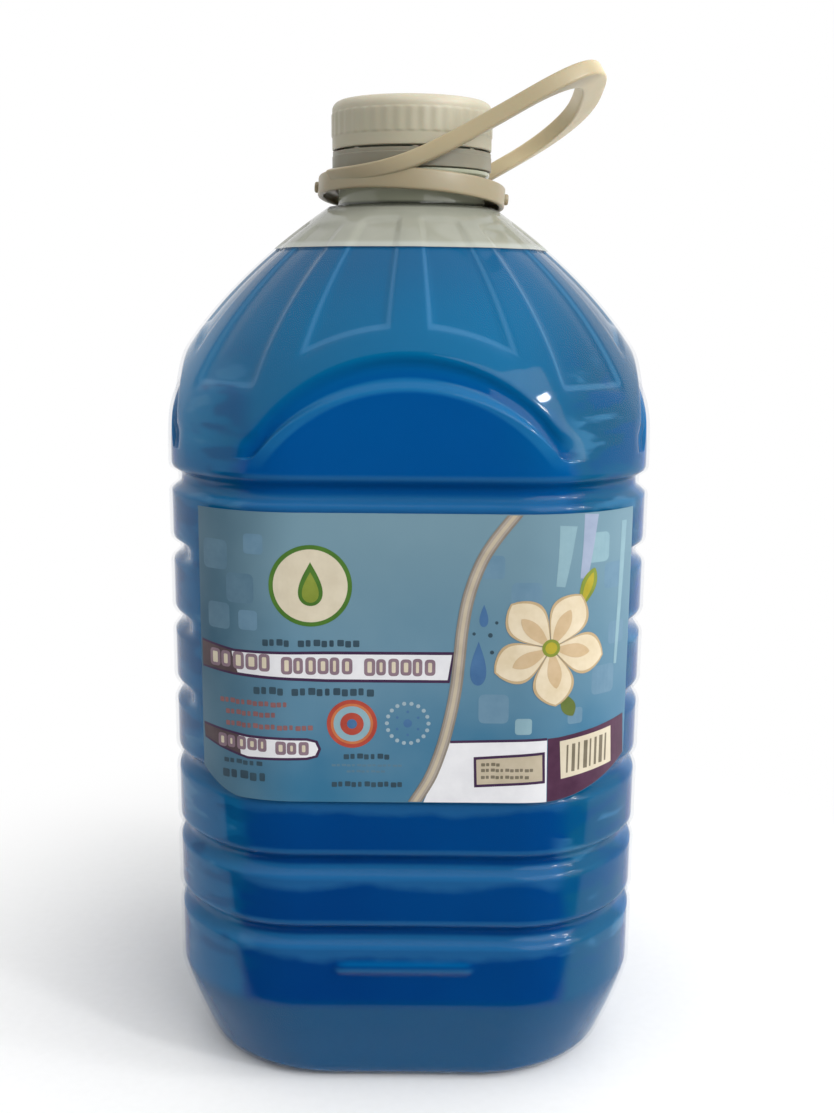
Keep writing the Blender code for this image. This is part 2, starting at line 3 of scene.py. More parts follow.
import bmesh
import bpy
import numpy as np
from mathutils import Matrix, Vector


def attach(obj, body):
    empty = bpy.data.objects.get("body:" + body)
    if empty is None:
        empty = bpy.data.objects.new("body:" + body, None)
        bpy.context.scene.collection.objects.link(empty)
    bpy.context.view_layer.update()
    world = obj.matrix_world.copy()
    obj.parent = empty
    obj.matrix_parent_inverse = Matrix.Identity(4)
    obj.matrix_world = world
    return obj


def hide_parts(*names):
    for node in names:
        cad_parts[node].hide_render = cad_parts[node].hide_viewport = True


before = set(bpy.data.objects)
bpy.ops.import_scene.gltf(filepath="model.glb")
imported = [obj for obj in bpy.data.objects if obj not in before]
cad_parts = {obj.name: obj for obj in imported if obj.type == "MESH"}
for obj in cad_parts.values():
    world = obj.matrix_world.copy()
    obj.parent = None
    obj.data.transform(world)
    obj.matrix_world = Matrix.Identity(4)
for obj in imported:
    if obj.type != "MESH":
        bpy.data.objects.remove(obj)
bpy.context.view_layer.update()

# Sizes of the part, in metres
BODY_WIDTH = 0.1522
CORNER_RADIUS = 0.043
SHOULDER_TOP = 0.277
BODY_WALL = 0.0008
TOUCH_GAP = 0.0003
DOME_RADIUS = 0.0905
DOME_DROP = 0.099
DOME_CROWN = 0.017
DOME_FULLNESS = 2.3
EDGE_BLEND = 0.003
GROOVE_HEIGHTS = (0.0543, 0.0777, 0.1022, 0.1248, 0.1478, 0.1706, 0.1929)
GROOVE_WIDTH = 0.0082
GROOVE_FLOOR = 0.0024
GROOVE_DEPTH = 0.0032
PANEL_ANGLE = 47.0
PANEL_FADE = 8.0
HEEL_HEIGHT = 0.0315
HEEL_INSET = 0.009
HEEL_CURVE = 1.2
BASE_ROUND = 0.005
STANDING_RING = 0.009
BASE_RISE = 0.008
SPOKE_RISE = 0.0006
RIB_HEIGHT = 0.0438
RIB_WIDTH = 0.0024
RIB_LENGTH = 0.042
RIB_PROUD = 0.0009
ARCH_APEX = 0.2278
ARCH_END = 0.203
ARCH_RADIUS = 0.0566
ARCH_WIDTH = 0.0104
ARCH_FLOOR = 0.0032
ARCH_DEPTH = 0.0022
ARCH_ANGLE = 36.0
ARCH_FADE = 6.0
PETAL_COUNT = 12
PETAL_ANGLE = 17.0
PETAL_BEVEL = 2.0
PETAL_BOTTOM = 0.2415
PETAL_TOP = 0.2715
PETAL_EDGE = 0.002
PETAL_DEPTH = 0.0012
FILL_HEIGHT = 0.2636
FILL_DIP = 0.0007
NECK_RADIUS = 0.02425
LEDGE_RADIUS = 0.0256
LEDGE_BOTTOM = 0.2866
LEDGE_TOP = 0.2883
FINISH_RADIUS = 0.0228
NECK_WALL = 0.002
LIP_TOP = 0.3074
BEAD_PROUD = 0.0016
THREAD_STARTS = 3
THREAD_PITCH = 0.003
THREAD_LEAD = 0.009
THREAD_DEPTH = 0.0013
THREAD_ROOT = 0.0016
THREAD_CREST = 0.0007
THREAD_SPAN = 150.0
THREAD_GAP = 0.00035
CAP_RADIUS = 0.02635
CAP_TOP = 0.3103
CAP_CEILING = 0.3087
CAP_ROUND = 0.0028
SKIRT_BOTTOM = 0.2950
KNURL_COUNT = 42
KNURL_DEPTH = 0.0005
KNURL_START = 0.0038
KNURL_END = 0.0036
BAND_BOTTOM = 0.2886
BAND_TOP = 0.2943
BAND_WALL = 0.0012
BAND_SLOT = 0.0007
BAND_BRIDGES = 8
BAND_LIP = 0.0011
BAND_GAP = 0.0005
RING_RADIUS = 0.03085
RING_RIM = 0.0019
RING_HEIGHT = 0.0065
RING_WEB = 0.0022
RING_GAP = 0.0005
RING_TILT_X = 5.0
RING_TILT_Y = 3.2
RING_CENTRE = 0.28185
KNOB_RADIUS = 0.0018
KNOB_PROUD = 0.0012
LOOP_REACH = 0.060
LOOP_SHOULDER = 0.034
LOOP_SLOPE = 30.2
LOOP_START = -0.004
LOOP_EASE = 0.014
LOOP_DROP = 0.0035
LOOP_ROLL = 12.0
LOOP_FRONT_ROOT = -0.025
LOOP_REAR_ROOT = 0.004
LOOP_SQUARENESS = 2.9
STRAP_WIDTH = 0.0054
STRAP_THICKNESS = 0.0028
GRIP_THICKNESS = 0.0088
LABEL_TOP = 0.1876
LABEL_BOTTOM = 0.0993
LABEL_LEFT = -0.0646
LABEL_RIGHT = 0.0726
LABEL_LEFT_CUT = 0.0145
LABEL_LEFT_RISE = 0.0075
LABEL_RIGHT_CUT = 0.0305
LABEL_RIGHT_RISE = 0.0108
LABEL_EDGE_POWER = 1.7
LABEL_FILM = 0.0003
INK_STEP = 0.000015

# Where the lamps point
LIT_POINT = (0.0, 0.0, 0.16)

# Density of the meshes
COLUMNS = 256
ROW_STEP = 0.00105
SHOULDER_ROWS = 32
KNURL_COLUMNS = 12
LABEL_COLUMNS = 240
LABEL_ROWS = 60

# The photograph's camera: frame and focal length in pixels, place in metres, and angle down and round
FRAME_HEIGHT = 1113
FOCAL_LENGTH = 1319
SENSOR = 24.0
CAMERA_SPOT = (0.00284, -0.4515, 0.252)
CAMERA_TILT = 11.6
CAMERA_ROLL = 0.5


def smooth_step(value):
    t = np.clip(value, 0.0, 1.0)
    return t * t * (3.0 - 2.0 * t)


def smooth_min(a, b, blend):
    h = np.maximum(blend - np.abs(a - b), 0.0) / blend
    return np.minimum(a, b) - h * h * blend / 4.0


def soft_groove(offset, width, floor):
    return smooth_step((width / 2 - np.abs(offset)) / ((width - floor) / 2))


def angle_off(phi, pitch):
    """Degrees to the nearest multiple of the pitch."""
    return np.abs((phi + pitch / 2) % pitch - pitch / 2)


def square_radius(phi, half):
    c = np.radians(angle_off(phi, 90.0))
    flat = half - CORNER_RADIUS
    reach = flat * sqrt(2.0)
    off = pi / 4 - c
    inside = np.maximum(CORNER_RADIUS**2 - (reach * np.sin(off)) ** 2, 0.0)
    return np.where(half * np.tan(c) <= flat, half / np.cos(c), reach * np.cos(off) + np.sqrt(inside))


def dome_radius(z):
    low = SHOULDER_TOP - DOME_DROP
    u = np.clip((z - low) / (SHOULDER_TOP + DOME_CROWN - low), 0.0, 1.0)
    return DOME_RADIUS * (1.0 - u**DOME_FULLNESS)


def arch_height(phi):
    across = BODY_WIDTH / 2 * np.tan(np.radians(angle_off(phi, 90.0)))
    arc = ARCH_APEX - ARCH_RADIUS + np.sqrt(np.maximum(ARCH_RADIUS**2 - across**2, 0.0))
    return -smooth_min(-arc, -ARCH_END, EDGE_BLEND)


ARCH_FOOT = max(GROOVE_HEIGHTS) + GROOVE_WIDTH / 2 + EDGE_BLEND / 2


def row_height(phi, z):
    """The row that passes this level: rows above the grooves bend with the arches."""
    arch = arch_height(phi)
    below = ARCH_FOOT + (z - ARCH_FOOT) * (ARCH_APEX - ARCH_FOOT) / (arch - ARCH_FOOT)
    above = ARCH_APEX + (z - arch) * (SHOULDER_TOP - ARCH_APEX) / (SHOULDER_TOP - arch)
    return np.where(z <= ARCH_FOOT, z, np.where(z <= arch, below, above))


def row_level(phi, height):
    arch = arch_height(phi)
    below = ARCH_FOOT + (height - ARCH_FOOT) * (arch - ARCH_FOOT) / (ARCH_APEX - ARCH_FOOT)
    above = arch + (height - ARCH_APEX) * (SHOULDER_TOP - arch) / (SHOULDER_TOP - ARCH_APEX)
    return np.where(height <= ARCH_FOOT, height, np.where(height <= ARCH_APEX, below, above))


def heel_inset(z):
    up = np.clip(1.0 - z / HEEL_HEIGHT, 0.0, 1.0)
    low = np.maximum(BASE_ROUND - z, 0.0)
    return HEEL_INSET * up**HEEL_CURVE + BASE_ROUND - np.sqrt(BASE_ROUND**2 - low**2)


def body_radius(phi, z):
    """Distance from the axis to the outside of the blown wall, with softened edges."""
    height = row_height(phi, z)
    radius = smooth_min(square_radius(phi, BODY_WIDTH / 2 - heel_inset(z)), dome_radius(z), EDGE_BLEND)
    beside = smooth_step((angle_off(phi, 180.0) - PANEL_ANGLE) / PANEL_FADE)
    for centre in GROOVE_HEIGHTS:
        share = beside if LABEL_BOTTOM + GROOVE_WIDTH < centre < LABEL_TOP else 1.0
        radius = radius - GROOVE_DEPTH * share * soft_groove(height - centre, GROOVE_WIDTH, GROOVE_FLOOR)
    fade = smooth_step((ARCH_ANGLE - angle_off(phi, 90.0)) / ARCH_FADE)
    radius = radius - ARCH_DEPTH * fade * soft_groove(height - ARCH_APEX, ARCH_WIDTH, ARCH_FLOOR)
    pitch = 360.0 / PETAL_COUNT
    off = np.abs(phi % pitch - pitch / 2)
    across = soft_groove(off, PETAL_ANGLE + 2 * PETAL_BEVEL, PETAL_ANGLE)
    span = PETAL_TOP - PETAL_BOTTOM
    along = soft_groove(height - (PETAL_BOTTOM + PETAL_TOP) / 2, span + 2 * PETAL_EDGE, span)
    radius = radius - PETAL_DEPTH * across * along
    rib_end = degrees(atan(RIB_LENGTH / BODY_WIDTH))
    rib = soft_groove(z - RIB_HEIGHT, 2 * RIB_WIDTH, RIB_WIDTH / 2)
    radius = radius + 0.95 * RIB_PROUD * rib * smooth_step((rib_end - angle_off(phi, 360.0)) / 1.5 + 0.5)
    return radius


def at(phi, radius, z):
    turn = np.radians(phi)
    return np.stack(np.broadcast_arrays(radius * np.sin(turn), -radius * np.cos(turn), z), axis=-1)


def place_object(name, data):
    item = bpy.data.objects.new(name, data)
    bpy.context.scene.collection.objects.link(item)
    return item


def spin(angle, axis):
    return Matrix.Rotation(radians(angle), 4, axis)


class Skin:
    """Collects grids of points into one mesh."""

    def __init__(self):
        self.points = []
        self.faces = []
        self.looks = []
        self.count = 0

    def grid(self, points, look=0, wrap=True, wrap_rows=False):
        points = np.asarray(points, float)
        rows, columns = points.shape[:2]
        index = np.arange(rows * columns).reshape(rows, columns) + self.count
        low = index if wrap_rows else index[:-1]
        high = np.roll(index, -1, axis=0) if wrap_rows else index[1:]
        quads = np.stack([low, np.roll(low, -1, axis=1), np.roll(high, -1, axis=1), high], axis=-1)
        if not wrap:
            quads = quads[:, :-1]
        quads = quads.reshape(-1, 4)
        self.points.append(points.reshape(-1, 3))
        self.faces += quads.tolist()
        self.looks += [look] * len(quads)
        self.count += rows * columns
        return index

    def face(self, corners, look=0):
        self.faces.append([int(i) for i in corners])
        self.looks.append(look)

    def fan(self, ring, height, look=0):
        """Closes a ring with a point on the axis."""
        self.points.append(np.array([(0.0, 0.0, height)]))
        for i in range(len(ring)):
            self.face((self.count, ring[i], ring[(i + 1) % len(ring)]), look)
        self.count += 1

    def build(self, name, looks, smooth_angle, recalc=True):
        data = bpy.data.meshes.new(name)
        data.from_pydata(np.concatenate(self.points).tolist(), [], self.faces)
        for look in looks:
            data.materials.append(look.material)
        data.polygons.foreach_set("material_index", np.array(self.looks, np.int32))
        if recalc:
            mesh = bmesh.new()
            mesh.from_mesh(data)
            bmesh.ops.recalc_face_normals(mesh, faces=mesh.faces)
            mesh.to_mesh(data)
            mesh.free()
        data.shade_smooth()
        data.set_sharp_from_angle(angle=radians(smooth_angle))
        return place_object(name, data)


def even_columns(count):
    return 360.0 * (np.arange(count) + 0.5) / count


def turned(skin, profile, columns, place, closed=False):
    phi = even_columns(columns)
    points = np.array([at(phi, r, z) for r, z in profile])
    points = points @ np.array(place.to_3x3()).T + np.array(place.translation)
    return skin.grid(points, wrap_rows=closed)


def rounded(corners, radius, steps=4, closed=True):
    """Rounds the corners of an outline of (x, y) points."""
    result = []
    count = len(corners)
    for i, point in enumerate(corners):
        p = Vector(point)
        if not closed and i in (0, count - 1):
            result.append(tuple(p))
            continue
        a, b = Vector(corners[i - 1]), Vector(corners[(i + 1) % count])
        cut = min(radius, (a - p).length * 0.45, (b - p).length * 0.45)
        start, end = p + (a - p).normalized() * cut, p + (b - p).normalized() * cut
        for k in range(steps + 1):
            t = k / steps
            q = start * (1 - t) ** 2 + p * 2 * t * (1 - t) + end * t * t
            result.append(tuple(q))
    return result


# Materials
class Tree:
    """Short calls for the nodes of one tree."""

    def __init__(self, tree):
        self.tree = tree

    def fill(self, node, values):
        for key, value in values.items():
            if hasattr(node, key):
                setattr(node, key, value)
            else:
                node.inputs[key.replace("_", " ")].default_value = value
        return node

    def add(self, kind, **values):
        return self.fill(self.tree.nodes.new(kind), values)

    def link(self, output, target):
        self.tree.links.new(output, target)

    def put(self, value, target):
        """Links a socket to the target, or sets a number or a colour on it."""
        if isinstance(value, bpy.types.NodeSocket):
            self.link(value, target)
        else:
            target.default_value = srgb(value) if isinstance(value, str) else value

    def split(self, output):
        node = self.add("ShaderNodeSeparateXYZ")
        self.link(output, node.inputs[0])
        return node.outputs

    def coords(self):
        return self.add("ShaderNodeTexCoord").outputs["Object"]

    def noise(self, scale, detail=3.0, roughness=0.5, vector=None):
        node = self.add("ShaderNodeTexNoise", Scale=scale, Detail=detail, Roughness=roughness)
        self.link(vector or self.coords(), node.inputs["Vector"])
        return node.outputs["Fac"]

    def spread(self, value, low, high, to_low=0.0, to_high=1.0, kind="LINEAR"):
        ends = {"From_Min": low, "From_Max": high, "To_Min": to_low, "To_Max": to_high}
        node = self.add("ShaderNodeMapRange", interpolation_type=kind, **ends)
        self.link(value, node.inputs["Value"])
        return node.outputs["Result"]

    def ease(self, *values):
        return self.spread(*values, kind="SMOOTHSTEP")

    def math(self, operation, *values):
        node = self.add("ShaderNodeMath", operation=operation)
        for i, value in enumerate(values):
            self.put(value, node.inputs[i])
        return node.outputs["Value"]

    def size(self, value):
        return self.math("ABSOLUTE", value)

    def times(self, *values):
        result = values[0]
        for value in values[1:]:
            result = self.math("MULTIPLY", result, value)
        return result

    def window(self, value, base, start, rise, fall, end):
        """1 between rise and fall, and 0 before start and past end, all measured from the base."""
        rising = self.spread(value, base + start, base + rise)
        return self.times(rising, self.spread(value, base + end, base + fall))

    def mix(self, share, a, b):
        node = self.add("ShaderNodeMix", data_type="RGBA")
        for i, value in ((0, share), (6, a), (7, b)):
            self.put(value, node.inputs[i])
        return node.outputs[2]

    def tint(self, tone, share, colour, strength=None):
        """Lays a colour over the tone, by the share and the strength."""
        return self.mix(share if strength is None else self.times(share, strength), tone, colour)


class Nodes(Tree):
    """A material around one Principled shader."""

    def __init__(self, name, **sockets):
        self.material = bpy.data.materials.new(name)
        self.material.use_nodes = True
        super().__init__(self.material.node_tree)
        self.shader = self.fill(self.tree.nodes["Principled BSDF"], sockets)

    def axes(self):
        return self.split(self.coords())

    def normal(self):
        return self.split(self.add("ShaderNodeTexCoord").outputs["Normal"])

    def bump(self, height, distance, strength=1.0):
        node = self.add("ShaderNodeBump", Strength=strength, Distance=distance)
        self.link(height, node.inputs["Height"])
        self.link(node.outputs["Normal"], self.shader.inputs["Normal"])

    def colour(self, output):
        self.link(output, self.shader.inputs["Base Color"])

    def rough(self, output):
        self.link(output, self.shader.inputs["Roughness"])


def srgb(code):
    parts = [int(code[i : i + 2], 16) / 255 for i in (1, 3, 5)]
    return (*(c / 12.92 if c <= 0.04045 else ((c + 0.055) / 1.055) ** 2.4 for c in parts), 1.0)


def soap_look():
    """Deep blue liquid, darkest on the upright panels, with painted light: lighter on up-facing slopes,
    painted highlight strips at the grooves, painted reflection on the corners and shoulder, painted shade on
    the right, and painted refraction streaks at the corners.
    """
    look = Nodes("soap_blue", Roughness=0.06, IOR=1.5, Specular_IOR_Level=0.2)
    x, y, z = look.axes()
    across = look.math("MINIMUM", look.size(x), look.size(y))
    ripple = look.math("SUBTRACT", look.noise(38.0, 3.0, 0.6), 0.5)
    tone = look.mix(look.spread(z, 0.05, 0.21), "#002E6E", "#004B8E")
    tone = look.tint(tone, look.spread(look.noise(14.0, 2.0), 0.35, 0.65), "#004F90", 0.25)
    right = look.times(look.ease(x, 0.022, 0.048), look.spread(z, 0.19, 0.21))
    tone = look.tint(tone, right, "#00588C", 0.7)
    # Painted light: up-facing slopes lighter, as if lit from above
    tone = look.tint(tone, look.ease(look.normal()[2], 0.06, 0.45), "#005890")

    # Painted highlight strips under and over each groove, and a painted highlight line along the front rib
    low = look.math("ADD", z, look.times(ripple, 0.010))
    groove_highlights = 0.0
    for centre in GROOVE_HEIGHTS:
        under = look.spread(low, centre - 0.0086, centre - 0.0062)
        under = look.times(under, look.spread(z, centre, centre - 0.002))
        over = look.window(z, centre, 0.0034, 0.0042, 0.0048, 0.0058)
        groove_highlights = look.math("MAXIMUM", groove_highlights, look.math("MAXIMUM", under, over))
    tone = look.tint(tone, groove_highlights, "#266090", 0.75)
    rib = look.window(z, RIB_HEIGHT, -0.0018, -0.0010, -0.0002, 0.0006)
    rib = look.times(rib, look.spread(look.size(x), RIB_LENGTH / 2 + 0.001, RIB_LENGTH / 2 - 0.001))
    tone = look.tint(tone, look.times(rib, look.spread(y, -0.05, -0.06, 0.0, 0.8)), "#245E8C")

    # Painted reflection on the corners, lighter on the left and darker on the right as painted light and
    # shade, and a lighter tone low on the heel
    corner = look.ease(look.math("ADD", across, look.times(ripple, 0.012)), 0.0475, 0.0530)
    corner_light_and_shade = look.mix(look.ease(x, -0.050, 0.050), "#0C6290", "#0C5274")
    tone = look.tint(tone, corner, corner_light_and_shade, 0.85)
    tone = look.tint(tone, look.ease(z, 0.034, 0.028), "#004872")

    # Painted reflection on the shoulder outside the arches, with painted light on the left and painted shade
    # on the right, and painted light on the lit slope of each arch
    drop = look.math("SUBTRACT", z, ARCH_APEX - ARCH_RADIUS)
    reach = look.math("SQRT", look.math("ADD", look.times(across, across), look.times(drop, drop)))
    above = look.spread(z, 0.199, 0.207)
    outside = look.times(look.spread(reach, ARCH_RADIUS - 0.001, ARCH_RADIUS + 0.006), above)
    shoulder = look.mix(look.ease(z, 0.240, 0.262), "#005E88", "#0A547C")
    shoulder = look.tint(shoulder, look.ease(x, -0.050, -0.068), "#04709E")
    shoulder = look.tint(shoulder, look.ease(x, 0.025, 0.062), "#084866")
    tone = look.tint(tone, outside, shoulder, 0.9)
    slope = look.window(reach, ARCH_RADIUS, -0.0058, -0.0048, -0.0022, -0.0012)
    tone = look.tint(tone, look.times(slope, above), "#2470A0", 0.6)

    # Painted highlight lines round the petals
    bend = look.times(look.math("ARCTAN2", x, look.times(y, -1.0)), 180.0 / pi)
    pitch = 360.0 / PETAL_COUNT
    off = look.math("MODULO", look.math("ADD", bend, 360.0), pitch)
    off = look.size(look.math("SUBTRACT", off, pitch / 2))
    rim = PETAL_ANGLE / 2 + PETAL_BEVEL
    tangent = look.math("DIVIDE", across, look.math("MAXIMUM", look.size(x), look.size(y)))
    droop = look.times(look.math("MINIMUM", look.times(tangent, tangent), 0.51), 0.035)
    foot = look.math("ADD", z, droop)
    side = look.window(off, rim, -1.6, -0.9, -0.4, 0.3)
    side = look.times(side, look.spread(foot, PETAL_BOTTOM - 0.0012, PETAL_BOTTOM - 0.0004))
    end = look.window(foot, PETAL_BOTTOM, -0.0018, -0.0012, -0.0002, 0.0004)
    line = look.math("MAXIMUM", side, look.times(end, look.spread(off, rim + 0.3, rim - 0.4)))
    tone = look.tint(tone, line, "#4E88AE", 0.35)

    # Painted dark and pale refraction streaks where the corners bend the view
    flow = look.add("ShaderNodeMapping", Scale=(0.28, 0.28, 1.0))
    look.link(look.coords(), flow.inputs["Vector"])
    wave = look.noise(120.0, 3.0, 0.55, flow.outputs["Vector"])
    corner_refraction = look.times(look.ease(across, 0.043, 0.051), look.ease(z, 0.238, 0.222))
    corner_refraction = look.times(corner_refraction, look.ease(z, 0.036, 0.046))
    tone = look.tint(tone, look.times(look.ease(wave, 0.51, 0.57), corner_refraction), "#004678", 0.7)
    tone = look.tint(tone, look.times(look.ease(wave, 0.44, 0.38), corner_refraction), "#4484AA", 0.4)
    look.colour(tone)
    look.rough(look.spread(look.noise(60.0, 2.0), 0.3, 0.7, 0.03, 0.08))
    look.bump(look.noise(26.0, 2.0), 0.0004, 0.4)
    return look


def foam_look():
    look = Nodes("soap_surface", Roughness=0.12, IOR=1.4)
    cells = look.add("ShaderNodeTexVoronoi", Scale=260.0)
    look.link(look.coords(), cells.inputs["Vector"])
    share = look.spread(cells.outputs["Distance"], 0.1, 0.6)
    look.colour(look.mix(share, "#A9B0A8", "#8FA0A4"))
    look.bump(cells.outputs["Distance"], 0.0003, 0.6)
    return look


def film_look():
    look = Nodes("pet_over_soap", Roughness=0.05, IOR=1.57, Alpha=0.10)
    look.colour(look.mix(look.noise(20.0), "#00508C", "#0A649C"))
    look.bump(look.noise(18.0, 2.0), 0.0005, 0.4)
    return look


def pet_look():
    """Empty part of the blown wall: a grey green veil with streaks, a painted highlight just above the fill
    line, painted light on the neck, and a painted shadow where the neck starts, under the ring.
    """
    look = Nodes("pet_clear", Roughness=0.07, IOR=1.57, Alpha=0.74)
    streak = look.noise(34.0, 3.0, 0.6)
    z = look.axes()[2]
    tone = look.mix(look.spread(streak, 0.35, 0.7), "#9A9C8E", "#ABAC9E")
    # Painted highlight: a pale rim just above the fill line
    rim = look.ease(z, FILL_HEIGHT + 0.0022, FILL_HEIGHT + 0.0008)
    tone = look.tint(tone, rim, "#C2C8C0", 0.7)
    # Painted light: the neck above the shoulder made lighter where it sits in the ring's shade
    tone = look.tint(tone, look.ease(z, 0.276, 0.279), "#B9BCA4")
    # Painted shadow: a dark band where the neck meets the shoulder, under the ring
    neck_shadow = look.window(z, SHOULDER_TOP, -0.0012, -0.0002, 0.0006, 0.0015)
    look.colour(look.tint(tone, neck_shadow, "#2A2F29", 0.85))
    look.bump(look.noise(60.0, 3.0), 0.0005, 0.6)
    return look


def plastic_look(name, low, high, roughness, shade=None, front=None):
    """Moulded plastic, grained and clouded. Shade is a painted shade (colour, from z, to z), and front a
    painted shade the same way in y.
    """
    look = Nodes(name, Roughness=roughness, IOR=1.49, Subsurface_Weight=0.15, Subsurface_Scale=0.002)
    cloud = look.spread(look.noise(45.0, 4.0, 0.6), 0.3, 0.7)
    tone = look.mix(cloud, low, high)
    for axis, tint in ((1, front), (2, shade)):
        if tint:
            colour, start, end = tint
            tone = look.tint(tone, look.ease(look.axes()[axis], start, end), colour)
    look.colour(tone)
    look.rough(look.spread(look.noise(120.0, 3.0), 0.3, 0.7, roughness - 0.06, roughness + 0.08))
    look.bump(look.noise(900.0, 2.0), 0.00006, 0.35)
    return look


def ink_look(name, low, high):
    look = Nodes(name, Roughness=0.42, IOR=1.5)
    share = look.spread(look.noise(160.0, 3.0, 0.6), 0.3, 0.7)
    look.colour(look.mix(share, low, high))
    look.bump(look.noise(70.0, 2.0), 0.0002, 0.25)
    return look


def label_look():
    """Printed film: cool blue that turns greyer towards the top, with painted shade round the left corner."""
    look = Nodes("label_film", Roughness=0.38, IOR=1.5)
    x, _, z = look.axes()
    up = look.ease(z, LABEL_BOTTOM, LABEL_TOP)
    # Painted shade: darker towards the left, away from the light
    left = look.ease(x, -0.030, -0.060)
    base = look.mix(up, "#2E6C8E", "#6A8B9A")
    base = look.tint(base, left, "#1E4C64", 0.8)
    look.colour(look.tint(base, look.spread(look.noise(30.0, 3.0), 0.35, 0.7), "#84A2AE", 0.25))
    look.bump(look.noise(24.0, 2.0), 0.0006, 0.35)
    return look


# Body of the bottle and the soap inside it
def wall_points(phi, top, inset, lift):
    """Rows of the wall from the base to a level top. Above the grooves the rows follow the arches."""
    heights = np.arange(0.0, ARCH_APEX + ARCH_WIDTH / 2, ROW_STEP)
    rows = [np.maximum(row_level(phi, height), lift) for height in heights]
    last = rows[-1]
    rows += [last + (top - last) * i / SHOULDER_ROWS for i in range(1, SHOULDER_ROWS + 1)]
    return np.array([at(phi, body_radius(phi, z) - inset, z) for z in rows])


def base_points(phi, inset):
    """Pushed-up middle of the base, out to the standing ring, with shallow spokes."""
    edge = square_radius(phi, BODY_WIDTH / 2 - heel_inset(np.array(0.0))) - STANDING_RING
    rows = []
    for share in np.linspace(0.04, 1.0, 22):
        rise = BASE_RISE * (1.0 - share**2)
        spoke = SPOKE_RISE * np.cos(np.radians(8 * phi)) * sin(pi * share)
        rows.append(at(phi, share * edge, np.maximum(rise + spoke, 0.0) + inset))
    return np.array(rows)


def make_soap():
    phi = even_columns(COLUMNS)
    inset = BODY_WALL + TOUCH_GAP
    skin = Skin()
    wall = wall_points(phi, FILL_HEIGHT, inset, inset)
    base = base_points(phi, inset)
    index = skin.grid(np.concatenate([base, wall]))
    skin.fan(index[0], BASE_RISE + inset)
    dip = ((1.0, 0.0), (0.985, 0.0003), (0.96, 0.0006), (0.9, FILL_DIP), (0.5, FILL_DIP), (0.1, FILL_DIP))
    top = skin.grid([wall[-1] * (share, share, 1.0) - (0.0, 0.0, drop) for share, drop in dip], 1)
    skin.fan(top[-1], FILL_HEIGHT - FILL_DIP, 1)
    soap = skin.build("soap_fill", [soap_look(), foam_look()], 60.0)
    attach(soap, "bottle")
    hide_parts("liquid_soap")


def helix(skin, wall_radius, depth, start_height, look=0):
    steps = 90
    for start in range(THREAD_STARTS):
        sections = []
        for i in range(steps + 1):
            turned_by = THREAD_SPAN * i / steps
            phi = start * 360.0 / THREAD_STARTS + turned_by
            z = start_height + THREAD_LEAD * turned_by / 360.0
            tip = depth * float(smooth_step(min(i, steps - i) / 9.0))
            root, crest = THREAD_ROOT / 2, THREAD_CREST / 2
            buried = copysign(0.0002, depth)
            lower = [(-buried, -root), (tip * 0.8, -crest), (tip, -crest / 2)]
            outline = lower + [(r, -h) for r, h in lower[::-1]]
            sections.append([at(phi, wall_radius + r, z + h) for r, h in outline])
        skin.grid(sections, look, wrap=False)


def make_shell():
    phi = even_columns(COLUMNS)
    skin = Skin()
    wall = wall_points(phi, FILL_HEIGHT, 0.0, 0.0)
    index = skin.grid(np.concatenate([base_points(phi, 0.0), wall]))
    skin.fan(index[0], BASE_RISE)
    rows = [at(phi, body_radius(phi, np.full_like(phi, z)), z) for z in np.linspace(FILL_HEIGHT, 0.2762, 22)]
    bore = FINISH_RADIUS - NECK_WALL
    corners = [
        (float(dome_radius(np.array(0.2766))) - 0.0006, 0.2770),
        (NECK_RADIUS + 0.0002, 0.2770),
        (NECK_RADIUS, 0.2778),
        (NECK_RADIUS, LEDGE_BOTTOM - 0.0002),
        (LEDGE_RADIUS, LEDGE_BOTTOM + 0.0005),
        (LEDGE_RADIUS, LEDGE_TOP),
        (FINISH_RADIUS, LEDGE_TOP),
        (FINISH_RADIUS, 0.2903),
        (FINISH_RADIUS + BEAD_PROUD, 0.2907),
        (FINISH_RADIUS + BEAD_PROUD * 0.7, 0.2914),
        (FINISH_RADIUS, 0.2924),
        (FINISH_RADIUS, LIP_TOP - 0.0004),
        (FINISH_RADIUS - 0.0004, LIP_TOP),
        (bore + 0.0003, LIP_TOP),
        (bore, LIP_TOP - 0.0003),
        (bore, 0.2772),
        (0.0235, 0.2755),
    ]
    rows += [at(phi, r, z) for r, z in rounded(corners, 0.00035, 3, closed=False)]
    for z in np.linspace(0.2752, 0.2648, 8):
        rows.append(at(phi, body_radius(phi, np.full_like(phi, z)) - BODY_WALL, z))
    skin.grid(rows, 1)
    helix(skin, FINISH_RADIUS, THREAD_DEPTH, SKIRT_BOTTOM + THREAD_PITCH + THREAD_ROOT / 2, 1)
    shell = skin.build("bottle_shell", [film_look(), pet_look()], 50.0)
    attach(shell, "bottle")
    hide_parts("bottle")


